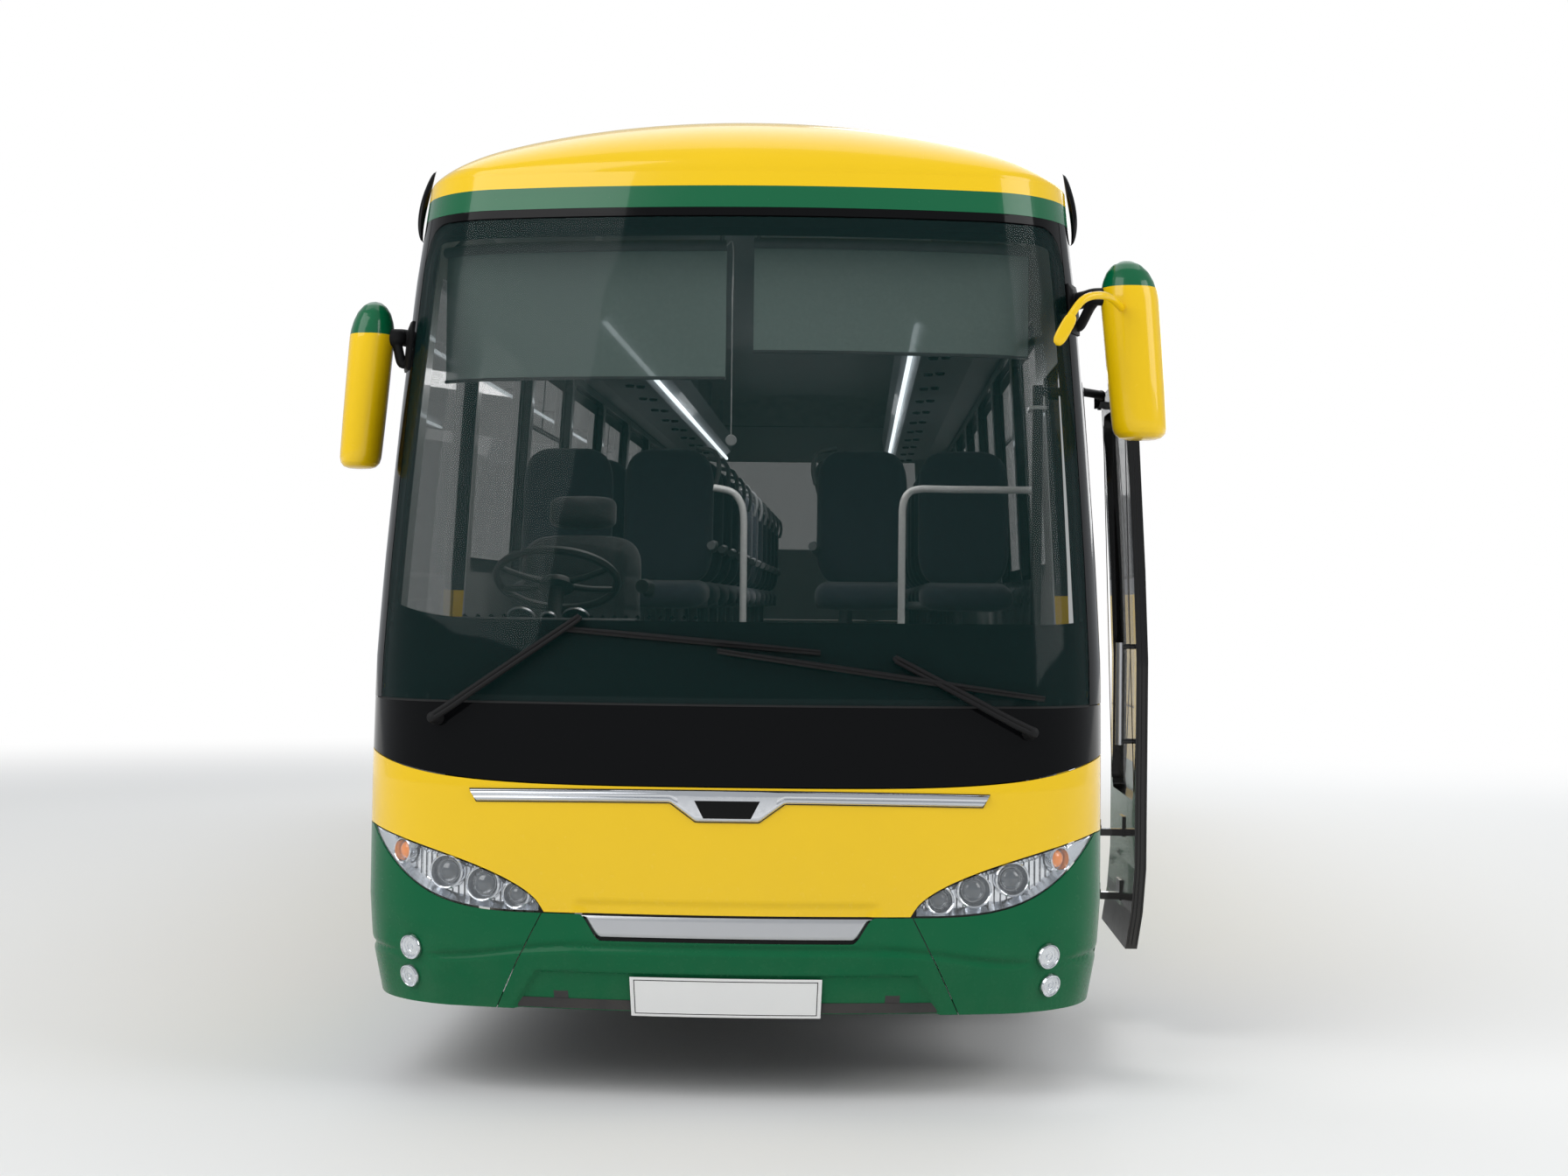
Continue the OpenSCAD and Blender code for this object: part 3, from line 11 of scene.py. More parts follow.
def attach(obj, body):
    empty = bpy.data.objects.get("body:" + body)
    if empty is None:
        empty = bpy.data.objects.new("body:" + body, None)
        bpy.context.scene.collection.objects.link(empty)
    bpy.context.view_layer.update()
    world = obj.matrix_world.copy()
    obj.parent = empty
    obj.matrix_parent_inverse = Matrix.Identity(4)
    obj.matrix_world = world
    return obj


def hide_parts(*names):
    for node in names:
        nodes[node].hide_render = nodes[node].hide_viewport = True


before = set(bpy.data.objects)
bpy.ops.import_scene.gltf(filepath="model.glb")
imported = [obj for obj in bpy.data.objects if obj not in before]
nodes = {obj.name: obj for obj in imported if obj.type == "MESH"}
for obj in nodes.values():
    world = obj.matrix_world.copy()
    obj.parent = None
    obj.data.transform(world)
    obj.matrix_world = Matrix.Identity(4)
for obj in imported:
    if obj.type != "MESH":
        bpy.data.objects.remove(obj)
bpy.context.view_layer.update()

scene = bpy.context.scene
scene.view_settings.view_transform = "Standard"

# Shader nodes. Short ways to add a node and to link its inputs; wherever a value is taken, it
# may be a plain number or colour or the socket of another node.
def node_in(tree, kind, inputs=None, **settings):
    """A node of that kind with its settings and its inputs."""
    node = tree.nodes.new(kind)
    for key, value in settings.items():
        setattr(node, key, value)
    for key, value in (inputs or {}).items():
        if isinstance(value, bpy.types.NodeSocket):
            tree.links.new(value, node.inputs[key])
        else:
            node.inputs[key].default_value = value
    return node


def math_of(tree, operation, first, second, clamp=False):
    """Output of one math operation on two values."""
    return node_in(tree, "ShaderNodeMath", {0: first, 1: second}, operation=operation,
                   use_clamp=clamp).outputs[0]


def ranged(tree, value, limits, **settings):
    """A value mapped from one range to another; by default the ranges are 0 to 1."""
    return node_in(tree, "ShaderNodeMapRange", {"Value": value, **limits}, **settings).outputs[0]


def noise(tree, place, scale, detail):
    """Noise of that scale and detail over a place."""
    return node_in(tree, "ShaderNodeTexNoise", {"Vector": place, "Scale": scale,
                                                "Detail": detail}).outputs["Fac"]


def scaled(tree, colour, factor):
    """A colour times a factor."""
    return node_in(tree, "ShaderNodeVectorMath", {0: colour, "Scale": factor},
                   operation="SCALE").outputs[0]


def blended(tree, factor, *colours):
    """Colour that goes from the first to the second with a factor."""
    first, second = (c if isinstance(c, bpy.types.NodeSocket) else (*c[:3], 1) for c in colours)
    return node_in(tree, "ShaderNodeMix", {0: factor, 6: first, 7: second},
                   data_type="RGBA").outputs[2]


def object_space(tree, what="Object"):
    """The shaded point in the object's own metres, or its Normal."""
    return node_in(tree, "ShaderNodeTexCoord").outputs[what]


def split(tree, vector):
    """The x, y and z of a vector."""
    return node_in(tree, "ShaderNodeSeparateXYZ", {0: vector}).outputs


def either(tree, factor, first, second):
    """One shader or the other, by a factor."""
    return node_in(tree, "ShaderNodeMixShader", {0: factor, 1: first.outputs[0],
                                                 2: second.outputs[0]})


# Camera and studio. The camera stands 13 m ahead of the axle line's middle, a little to the
# door side and at the height of a person's eyes, as in the photograph.
CAMERA_AT = (0.420, -13.440, 1.661)
camera = bpy.data.objects.new("camera", bpy.data.cameras.new("camera"))
scene.collection.objects.link(camera)
scene.camera = camera
for key, value in {"sensor_fit": "HORIZONTAL", "sensor_width": 36.0, "lens": 52.07,
                   "clip_end": 200.0}.items():
    setattr(camera.data, key, value)
yaw, pitch, roll = math.radians(-1.85), math.radians(0.38), math.radians(0.60)
ahead = Vector((math.sin(yaw) * math.cos(pitch), math.cos(yaw) * math.cos(pitch), math.sin(pitch)))
level = ahead.cross(Vector((0, 0, 1))).normalized()
upright = level.cross(ahead)
right = level * math.cos(roll) + upright * math.sin(roll)
up = upright * math.cos(roll) - level * math.sin(roll)
camera.matrix_world = Matrix.Translation(CAMERA_AT) @ Matrix(
    (right, up, -ahead)).transposed().to_4x4()

# World. A soft cool light from all round; the camera, also through glass, sees plain white.
# Reflections show the soft light, so that gloss paint keeps its depth.
world = bpy.data.worlds.new("studio")
scene.world = world
world.use_nodes = True
sky = world.node_tree
sky.nodes.clear()
rays = node_in(sky, "ShaderNodeLightPath").outputs
seen = math_of(sky, "ADD", rays["Is Camera Ray"], rays["Is Transmission Ray"], clamp=True)
soft_light = node_in(sky, "ShaderNodeBackground", {"Color": (0.93, 0.96, 1.0, 1),
                                                   "Strength": 0.55})
backdrop = node_in(sky, "ShaderNodeBackground", {"Color": (1, 1, 1, 1), "Strength": 1.0})
node_in(sky, "ShaderNodeOutputWorld",
        {"Surface": either(sky, seen, soft_light, backdrop).outputs[0]})

# Soft lamps, each row [name, place, point it faces, size, power in watts]
LAMPS = (
    ("key_light", (-9.0, -13.0, 10.0), (0, -3, 1.5), 11.0, 1050),
    ("fill_light", (11.0, -9.0, 7.0), (0, -2, 1.5), 7.0, 520),
    ("top_light", (0.0, 2.0, 12.0), (0, 0, 0), 14.0, 560),
    ("back_light", (6.0, 14.0, 8.0), (0, 4, 1.5), 11.0, 700),
    ("cabin_light", (0.0, -4.6, 2.75), (0, -4.9, 1.3), 1.2, 20),
    ("saloon_light", (0.0, 0.6, 2.9), (0, 0.6, 1.0), 1.4, 42),
)
for name, place, target, size, power in LAMPS:
    lamp = bpy.data.objects.new(name, bpy.data.lights.new(name, "AREA"))
    lamp.data.size = size
    lamp.data.energy = power
    lamp.location = place
    lamp.rotation_euler = (Vector(target) - Vector(place)).to_track_quat("-Z", "Y").to_euler()
    scene.collection.objects.link(lamp)

# Paint shop. Every finish is a Principled surface. Three effects are shared: the life of a
# painted surface, the grain of moulded plastic or cast metal, and the weave of cloth.
DUST = (0.30, 0.27, 0.22)
SOCKETS = {"Color": "NodeSocketColor", "Second": "NodeSocketColor", "Normal": "NodeSocketVector"}


def effect(name, inputs, build):
    """A shader group: inputs holds each input's default, build(tree, came) gives the outputs."""
    tree = bpy.data.node_groups.new(name, "ShaderNodeTree")

    def socket(label, way):
        return tree.interface.new_socket(label, in_out=way,
                                         socket_type=SOCKETS.get(label, "NodeSocketFloat"))
    for label, value in inputs.items():
        socket(label, "INPUT").default_value = value
    made = build(tree, tree.nodes.new("NodeGroupInput").outputs)
    for label in made:
        socket(label, "OUTPUT")
    node_in(tree, "NodeGroupOutput", made)
    return tree


def life(tree, came):
    """Colour and roughness of a used painted surface.

    tone = colour scaled by a slow noise; dust = (1 - z / reach) squared times a blotchy noise;
    roughness = base + scuffs + dust; the normal carries a faint orange peel.
    """
    place, do = object_space(tree), partial(math_of, tree)
    tone = ranged(tree, noise(tree, place, 1.3, 3.0), {"To Min": 0.95, "To Max": 1.05})
    share = do("DIVIDE", split(tree, place)["Z"], came["Reach"])
    low = do("POWER", do("SUBTRACT", 1.0, share, clamp=True), 2.0)
    blotch = do("MULTIPLY", low, noise(tree, place, 9.0, 6.0))
    dust = do("MULTIPLY", blotch, came["Dust"], clamp=True)
    scuff = ranged(tree, noise(tree, place, 55.0, 8.0),
                   {"From Min": 0.45, "From Max": 0.75, "To Min": 0.0, "To Max": 0.10})
    rough = do("ADD", came["Roughness"], do("MULTIPLY", scuff, came["Scuff"]))
    peel = node_in(tree, "ShaderNodeBump", {"Height": noise(tree, place, 420.0, 1.0),
                                            "Strength": came["Peel"], "Distance": 0.0015})
    return {"Color": blended(tree, dust, scaled(tree, came["Color"], tone), DUST),
            "Roughness": do("ADD", rough, dust, clamp=True), "Normal": peel.outputs[0]}


def grain(tree, came):
    """Pebbled grain: a cell pattern gives the normal, a noise mottles colour and roughness."""
    place = object_space(tree)
    cells = node_in(tree, "ShaderNodeTexVoronoi", {"Vector": place, "Scale": came["Scale"]})
    mottle = noise(tree, place, 14.0, 5.0)
    tone = ranged(tree, mottle, {"To Min": 0.8, "To Max": 1.2})
    spread = ranged(tree, mottle, {"To Min": -0.08, "To Max": 0.08})
    bump = node_in(tree, "ShaderNodeBump", {"Height": cells.outputs["Distance"],
                                            "Strength": came["Depth"], "Distance": 0.001})
    return {"Color": scaled(tree, came["Color"], tone),
            "Roughness": math_of(tree, "ADD", came["Roughness"], spread, clamp=True),
            "Normal": bump.outputs[0]}


def weave(tree, came):
    """Cloth: two crossed sets of ribs give the normal and shade the yarns, with a slow fleck."""
    place = object_space(tree)
    ribs = [node_in(tree, "ShaderNodeTexWave",
                    {"Vector": place, "Scale": came["Scale"], "Distortion": 0.6, "Detail": 1.0},
                    bands_direction=way).outputs["Fac"] for way in "XZ"]
    both = math_of(tree, "MULTIPLY", *ribs)
    fleck = ranged(tree, noise(tree, place, 70.0, 3.0), {"From Min": 0.5, "From Max": 0.62})
    yarn = blended(tree, fleck, came["Color"], came["Second"])
    shade = ranged(tree, both, {"To Min": 0.75, "To Max": 1.1})
    bump = node_in(tree, "ShaderNodeBump", {"Height": both, "Strength": 0.5, "Distance": 0.001})
    return {"Color": scaled(tree, yarn, shade), "Normal": bump.outputs[0]}


LIFE = effect("surface_life", {"Color": (1, 1, 1, 1), "Roughness": 0.2, "Dust": 0.3,
                               "Reach": 1.1, "Peel": 0.02, "Scuff": 0.6}, life)
GRAIN = effect("surface_grain", {"Color": (0.1, 0.1, 0.1, 1), "Roughness": 0.5, "Scale": 900.0,
                                 "Depth": 0.3}, grain)
WEAVE = effect("cloth_weave", {"Color": (0.1, 0.1, 0.1, 1), "Second": (0.2, 0.2, 0.2, 1),
                               "Scale": 260.0}, weave)


def finish(name, colour, effect_tree, values, sockets):
    """A Principled material: colour may be an RGB triple or a function that adds nodes."""
    material = bpy.data.materials.new(name)
    material.use_nodes = True
    tree = material.node_tree
    surface = tree.nodes["Principled BSDF"]
    for key, value in sockets.items():
        surface.inputs[key].default_value = value
    if effect_tree is None:
        surface.inputs["Base Color"].default_value = (*colour, 1)
        return material
    base = colour(tree) if callable(colour) else (*colour, 1)
    group = node_in(tree, "ShaderNodeGroup", dict(values, Color=base), node_tree=effect_tree)
    for label, output in group.outputs.items():
        tree.links.new(output, surface.inputs["Base Color" if label == "Color" else label])
    return material


def painted(name, colour, wear, sockets=()):
    """Paint, metal or glass; wear is its roughness, dust, orange peel and perhaps scuffs."""
    return finish(name, colour, LIFE, dict(zip(("Roughness", "Dust", "Peel", "Scuff"), wear)),
                  dict(sockets))


def moulded(name, colour, pebbles, sockets=()):
    """Moulded or cast surface; pebbles is its roughness, the grain's scale and its depth."""
    return finish(name, colour, GRAIN, dict(zip(("Roughness", "Scale", "Depth"), pebbles)),
                  dict(sockets))


def bands(steps, first):
    """A colour that changes with height: first, then each (height, colour) above it."""
    def build(tree):
        height = split(tree, object_space(tree))["Z"]
        colour = first
        for start, tint in steps:
            colour = blended(tree, math_of(tree, "GREATER_THAN", height, start), colour, tint)
        return colour
    return build


def dress(material, *names):
    """Give the solids of these nodes their finish."""
    for name in names:
        nodes[name].data.materials.clear()
        nodes[name].data.materials.append(material)


YELLOW = (0.84, 0.54, 0.003)
GREEN = (0.0, 0.110, 0.040)
BLACK = (0.003, 0.0032, 0.0036)
ENAMEL = {"Coat Weight": 0.45, "Coat Roughness": 0.03, "Specular IOR Level": 0.20}
DEEP = {"Coat Weight": 0.09, "Coat Roughness": 0.02, "Specular IOR Level": 0.08}
GLOSS = {"Roughness": 0.22, "Dust": 0.25, "Peel": 0.03}
yellow_enamel = finish("yellow_enamel", YELLOW, LIFE, GLOSS, ENAMEL)
green_enamel = finish("green_enamel", GREEN, LIFE, dict(GLOSS, Dust=0.15), DEEP)
black_enamel = finish("black_enamel", BLACK, LIFE, dict(GLOSS, Roughness=0.06, Dust=0.1), DEEP)


# Front skin. The moulded front is one surface: a gentle curve across, round corners, and a
# rake that grows with height. Each front panel is a patch of it, worked out here in metres.
HALF = 1.275
SIDE = np.array([[250, 45], [300, 38], [470, 12], [640, 0], [1450, 0], [1800, 14], [2300, 42],
                 [2800, 74], [3160, 108], [3560, 130]]) / 1000
NOSE = np.array([[250, 60], [300, 45], [420, 16], [500, 0], [540, 0], [700, 4], [1050, 16],
                 [1320, 46], [1600, 88], [2000, 160], [2400, 242], [2800, 330], [3160, 420],
                 [3560, 600]]) / 1000
TAIL = np.array([[250, 60], [300, 50], [560, 0], [1500, 10], [2100, 60], [3160, 190],
                 [3560, 250]]) / 1000
GUTTER = 3.16
FRONT = (4.5, 0.42, -6.0, 1.0, NOSE)
REAR = (9.0, 0.3, 6.0, -1.0, TAIL)


def half_at(z):
    """Half width of the body at height z: straight lines between the rows of SIDE."""
    return HALF - np.interp(z, SIDE[:, 0], SIDE[:, 1])


def end_lengths(end):
    """Turn and length of the gentle arc, and the length out to the side, in radians and m."""
    turn = math.asin((HALF - end[1]) / (end[0] - end[1]))
    across = end[0] * turn
    return turn, across, across + end[1] * (math.pi / 2 - turn)


def skin(end, s, z, proud=0.0):
    """A point of an end's skin, s metres along it from the middle at height z.

    Plan: an arc of radius end[0], then the corner's arc; x is scaled by the width at z, and
    y is set back by the end's table. proud moves the point along the outward normal.
    """
    s, z = np.broadcast_arrays(np.asarray(s, float), np.asarray(z, float))
    turn, across, reach = end_lengths(end)

    def bare(s, z):
        a = np.abs(s)
        gentle = a <= across
        angle = np.where(gentle, a / end[0], np.minimum(math.pi / 2, turn + (a - across) / end[1]))
        x = np.where(gentle, end[0] * np.sin(angle),
                     (end[0] - end[1]) * math.sin(turn) + end[1] * np.sin(angle))
        y = np.where(gentle, end[0] * (1 - np.cos(angle)),
                     end[0] - (end[0] - end[1]) * math.cos(turn) - end[1] * np.cos(angle)
                     + np.maximum(0, a - reach))
        back = np.interp(z, end[4][:, 0], end[4][:, 1])
        return np.stack([np.sign(s) * x * half_at(z) / HALF, end[2] + end[3] * (back + y), z], -1)

    point = bare(s, z)
    normal = np.cross(bare(s + 0.004, z) - bare(s - 0.004, z),
                      bare(s, z + 0.02) - bare(s, z - 0.02)) * end[3]
    normal /= np.linalg.norm(normal, axis=-1, keepdims=True)
    return point + np.asarray(proud)[..., None] * normal


def s_at(end, x):
    """Distance along an end's skin at which it is x metres from the middle at the waist."""
    turn, across, _ = end_lengths(end)
    a = np.abs(np.asarray(x, float))
    gentle = end[0] * np.arcsin(np.minimum(1, a / end[0]))
    corner = across + end[1] * (np.arcsin(np.clip(
        (a - (end[0] - end[1]) * math.sin(turn)) / end[1], -1, 1)) - turn)
    return np.sign(x) * np.where(a <= end[0] * math.sin(turn), gentle, corner)


def outward(end, s, z, proud=0.0):
    """A place on an end's skin and the unit normal there."""
    place = skin(end, s, z, proud)
    return place, skin(end, s, z, proud + 1.0) - place


def on_front(x, z, proud=0.0):
    """A place on the front, x metres from the middle (signed), and the unit normal there."""
    return outward(FRONT, float(s_at(FRONT, x)), z, proud)


# Shapes. A shape is a pair of arrays, points and faces, all in metres: closed grids and plates,
# profiles turned about an axis, tubes along a path. Here they are joined and put on a body.
SIDES = ((1, "left"), (-1, "right"))


def mix(a, b, t):
    """Straight blend from a to b."""
    return a + (b - a) * t


def power(t, exponent):
    """A power that keeps the sign; on a sine and a cosine it squares off their circle."""
    return np.sign(t) * np.abs(t) ** exponent


def xyz(x, y, z):
    """Points from coordinates that broadcast together."""
    return np.stack(np.broadcast_arrays(x, y, z), -1)


def turns(count):
    """Angles of a full turn, evenly spread."""
    return np.linspace(0, 2 * np.pi, count, endpoint=False)


def lattice(first, second):
    """Two grids of values, the first along the rows and the second along the columns."""
    return np.meshgrid(first, second, indexing="ij")


def grid_faces(rows, columns, start=0, wrap=False, turn=False):
    """Quads of a grid of rows by columns of points; wrap joins the last row to the first."""
    i = np.arange(rows if wrap else rows - 1)[:, None]
    j = np.arange(columns - 1)[None, :]
    nxt = (i + 1) % rows
    quads = np.stack([i * columns + j, nxt * columns + j, nxt * columns + j + 1,
                      i * columns + j + 1], -1).reshape(-1, 4) + start
    return quads[:, ::-1] if turn else quads


def closed(grid):
    """Shape of a grid of points whose last row joins the first."""
    return grid.reshape(-1, 3), grid_faces(*grid.shape[:2], 0, True)


def shell_arrays(outer, inner, turn=False):
    """Shape of a closed plate between two grids of points, rows by columns."""
    rows, columns = outer.shape[:2]
    n = rows * columns
    faces = [grid_faces(rows, columns, 0, False, turn),
             grid_faces(rows, columns, n, False, not turn)]
    i, j = np.arange(rows - 1), np.arange(columns - 1)
    for line, step, flip in (
            (i * columns, columns, False), (i * columns + columns - 1, columns, True),
            (j, 1, True), (j + (rows - 1) * columns, 1, False)):
        quad = np.stack([line, line + n, line + n + step, line + step], -1)
        faces.append(quad[:, ::-1] if flip != turn else quad)
    return np.concatenate([outer.reshape(-1, 3), inner.reshape(-1, 3)]), np.concatenate(faces)


def lathe(profile, place, axis, steps=48):
    """Shape of a profile of (radius, height) turned about an axis from a place.

    A point is place + radius (cos a * p + sin a * q) + height * axis, p and q across the axis.
    """
    axis = np.asarray(axis, float) / np.linalg.norm(axis)
    p = np.cross(axis, (0.0, 0.0, 1.0) if abs(axis[2]) < 0.9 else (1.0, 0.0, 0.0))
    p /= np.linalg.norm(p)
    q = np.cross(axis, p)
    profile = np.asarray(profile, float)
    a = turns(steps)[:, None, None]
    return closed(np.asarray(place, float) + profile[None, :, 1:2] * axis
                  + profile[None, :, 0:1] * (np.cos(a) * p + np.sin(a) * q))


def lens_line(radius, low, rise, edge, back, steps, last=0.0):
    """Profile of a domed lens: a quarter ellipse out from its top, then in along its back."""
    a = np.linspace(np.pi / 2, last, steps)
    return np.concatenate([np.stack([radius * np.cos(a), low + rise * np.sin(a)], -1),
                           [(edge, back), (0.0, back)]])


def tube(path, radius, sides=16, smooth=6):
    """A closed tube along a path: Catmull-Rom points, a frame carried along, rings of points."""
    path = np.asarray(path, float)
    if smooth > 1 and len(path) > 2:
        ends = np.concatenate([[2 * path[0] - path[1]], path, [2 * path[-1] - path[-2]]])
        t = np.linspace(0, 1, smooth, endpoint=False)[:, None]
        runs = [0.5 * (2 * b + (c - a) * t + (2 * a - 5 * b + 4 * c - d) * t ** 2
                       + (3 * b - a - 3 * c + d) * t ** 3)
                for a, b, c, d in zip(ends, ends[1:], ends[2:], ends[3:])]
        path = np.concatenate(runs + [path[-1:]])
    along = np.gradient(path, axis=0)
    along /= np.linalg.norm(along, axis=1, keepdims=True)
    side = np.cross(along[0], (0.0, 0.0, 1.0) if abs(along[0][2]) < 0.9 else (1.0, 0.0, 0.0))
    frames = []
    for d in along:
        side = side - d * side.dot(d)
        side /= np.linalg.norm(side)
        frames.append((side.copy(), np.cross(d, side)))
    frames = np.array(frames)
    a = turns(sides)[None, :, None]
    size = np.broadcast_to(np.asarray(radius, float), (len(path),))[:, None, None]
    rings = path[:, None] + size * (np.cos(a) * frames[:, :1] + np.sin(a) * frames[:, 1:])
    points = np.concatenate([rings.reshape(-1, 3), path[:1], path[-1:]])
    n, m = len(path), len(path) * sides
    faces = [(i * sides + j, i * sides + (j + 1) % sides, (i + 1) * sides + (j + 1) % sides,
              (i + 1) * sides + j) for i in range(n - 1) for j in range(sides)]
    faces += [(m, (j + 1) % sides, j) for j in range(sides)]
    faces += [(m + 1, m - sides + j, m - sides + (j + 1) % sides) for j in range(sides)]
    return points, faces


def joined(parts):
    """Several shapes as one; faces may have three or four corners."""
    points, faces, start = [], [], 0
    for some, links in parts:
        points.append(np.asarray(some, float).reshape(-1, 3))
        faces += [tuple(int(k) + start for k in f) for f in links]
        start += len(points[-1])
    return np.concatenate(points), faces


def add_mesh(name, points, faces, material, slot, body="shell"):
    """A smooth mesh object from arrays of points and faces, on its body."""
    mesh = bpy.data.meshes.new(name)
    mesh.from_pydata(np.asarray(points, float).reshape(-1, 3).tolist(), [],
                     [tuple(f) for f in faces])
    mesh.polygons.foreach_set("use_smooth", np.ones(len(mesh.polygons), bool))
    mesh.materials.append(material)
    mesh.validate()
    piece = bpy.data.objects.new(name, mesh)
    scene.collection.objects.link(piece)
    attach(piece, body)
    return piece


def sharpen(piece, degrees=35):
    """Smooth shading that keeps edges sharper than the angle crisp."""
    piece.data.set_sharp_from_angle(angle=math.radians(degrees))
    return piece


def add_joined(name, parts, material, slot, body="shell", degrees=40):
    """One object from several shapes, its doubles merged and its faces turned outwards."""
    piece = add_mesh(name, *joined(parts), material, slot, body)
    shape = bmesh.new()
    shape.from_mesh(piece.data)
    bmesh.ops.remove_doubles(shape, verts=shape.verts, dist=1e-6)
    bmesh.ops.dissolve_degenerate(shape, edges=shape.edges, dist=1e-7)
    bmesh.ops.recalc_face_normals(shape, faces=shape.faces)
    shape.to_mesh(piece.data)
    shape.free()
    return sharpen(piece, degrees)


def front_plate(name, at, across, up, thick, material, slot, proud=0.0, end=FRONT, turn=None):
    """A closed plate on an end's skin: at(u, v) gives s, z and, if it likes, the relief."""
    u, v = lattice(np.linspace(0, 1, across + 1), np.linspace(0, 1, up + 1))
    where = at(u, v)
    s, z = where[0], where[1]
    relief = (where[2] if len(where) > 2 else 0.0) + np.zeros_like(s) + proud
    points, faces = shell_arrays(skin(end, s, z, relief), skin(end, s, z, relief - thick),
                                 turn=end[3] < 0 if turn is None else turn)
    return sharpen(add_mesh(name, points, faces, material, slot))


def strip(half, low, high):
    """A plate's at(u, v) for a strip across the front, half metres of skin to each side.

    low and high are its edges, each a height or a function of the place along the skin.
    """
    def at(u, v):
        s = mix(-half, half, u)
        return s, mix(*(edge(s) if callable(edge) else edge for edge in (low, high)), v)
    return at


# Windscreen. One bonded pane of laminated glass, 8 mm thick, that wraps round both corners.
# A black ceramic border is fired on its inner face: wide below, narrow above and at the sides.
SCREEN_S = float(s_at(FRONT, 1.215))
SEAM_Z, SCREEN_TOP, CORNER = 1.320, 2.995, 0.130


def screen_top(s):
    """Upper edge: level, then a quarter round of 130 mm radius at each end."""
    d = np.maximum(0, np.abs(s) - (SCREEN_S - CORNER))
    return SCREEN_TOP - (CORNER - np.sqrt(np.maximum(0, CORNER ** 2 - d ** 2)))


def clear_low(s):
    """Lower edge of the clear area: level at 1.60 m, curling up near the driver's corner."""
    side = np.clip((-s - 0.80) / 0.45, 0, 1)
    other = np.clip((s - 1.05) / 0.30, 0, 1)
    return 1.598 + 0.055 * side ** 2 + 0.02 * other ** 2


window_glass = painted("window_glass", (0.006, 0.022, 0.021), (0.0, 0.0, 0.0, 0.0),
                       {"Alpha": 0.40, "Specular IOR Level": 0.12})
front_plate("windscreen_glass", strip(SCREEN_S, SEAM_Z + 0.004, screen_top), 96, 32, 0.008,
            window_glass, "window_glass")
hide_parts("windscreen")

frit_black = painted("frit_black", (0.003, 0.003, 0.0035), (0.30, 0.0, 0.0),
                     {"Specular IOR Level": 0.1})
FRIT_SIDE = 0.055
BORDER = (
    ("frit_low", strip(SCREEN_S, SEAM_Z + 0.006, clear_low)),
    ("frit_high", strip(SCREEN_S, lambda s: screen_top(s) - 0.064,
                        lambda s: screen_top(s) - 0.002)),
    ("frit_left", lambda u, v: (mix(SCREEN_S - FRIT_SIDE, SCREEN_S, u), mix(1.55, 2.90, v))),
    ("frit_right", lambda u, v: (mix(-SCREEN_S, -SCREEN_S + FRIT_SIDE, u), mix(1.55, 2.90, v))),
)
for name, at in BORDER:
    wide = name in ("frit_low", "frit_high")
    front_plate(name, at, 96 if wide else 6, 3 if wide else 24, 0.0015, frit_black,
                "gloss_black", -0.0095 if wide else -0.0115)

# Surround of the windscreen. Gloss black mouldings: a header over the glass and a pillar skin
# at each side that runs back to the side wall, over the steel corner posts.
dress(black_enamel, "screen_frame")
FRAME_TOP = 3.0265
front_plate("header_skin", strip(SCREEN_S, lambda s: screen_top(s) + 0.005, FRAME_TOP), 96, 4,
            0.004, black_enamel, "gloss_black", 0.0006)
REACH = end_lengths(FRONT)[2]
for side, word in SIDES:
    front_plate("pillar_skin_" + word, lambda u, v: (
        side * mix(SCREEN_S + 0.005, REACH, u), mix(SEAM_Z + 0.004, FRAME_TOP, v)), 14, 24, 0.004,
        black_enamel, "gloss_black", 0.0006, turn=side < 0)

# Front dome. A moulded roof cap in yellow, with a painted green band over the black header.
cap_enamel = finish("cap_enamel", bands(((3.108, YELLOW),), GREEN), LIFE, GLOSS, ENAMEL)
dress(cap_enamel, "roof_cap")


def dome(end, length, run_up, crest, last, rings, rows, thick):
    """Outer and inner grids of a roof end.

    Each ring is a half ellipse across; its rise climbs as a quarter circle over run_up, then
    eases from crest to last along the roof. u turns across, v runs back as 1 - cos.
    """
    grids = []
    for inset in (0.0, thick):
        u, v = np.radians(lattice(np.linspace(-90, 90, rings + 1), np.linspace(0, 90, rows + 1)))
        half = half_at(GUTTER) - inset
        x = half * np.sin(u)
        back = np.interp(GUTTER, end[4][:, 0], end[4][:, 1])
        s = s_at(end, np.minimum(HALF, np.abs(x) * HALF / half))
        plan = skin(end, s, np.full_like(s, GUTTER))[..., 1]
        y0 = (plan - end[2]) * end[3] + inset
        y = mix(y0, length, 1 - np.cos(v))
        run = np.minimum(1, (y - y0) / run_up)
        fall = np.clip((y - back - run_up) / (length - back - run_up), 0, 1)
        rise = mix(crest, last, (1 - np.cos(np.pi * fall)) / 2) - inset
        z = GUTTER + rise * np.cos(u) * np.sqrt(np.maximum(0, 1 - (1 - run) ** 2))
        grids.append(np.stack([x, end[2] + end[3] * y, z], -1))
    return grids


outer, inner = dome(FRONT, 1.5, 0.83, 0.295, 0.276, 96, 40, 0.010)
points, faces = shell_arrays(outer, inner)
cap = sharpen(add_mesh("front_dome", points, faces, cap_enamel, "front_paint"), 40)
front_plate("front_band", strip(REACH, 3.030, 3.161), 112, 6, 0.012, cap_enamel, "front_paint",
            0.0008)
for piece in (cap, bpy.data.objects["front_band"]):
    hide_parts("roof_cap")

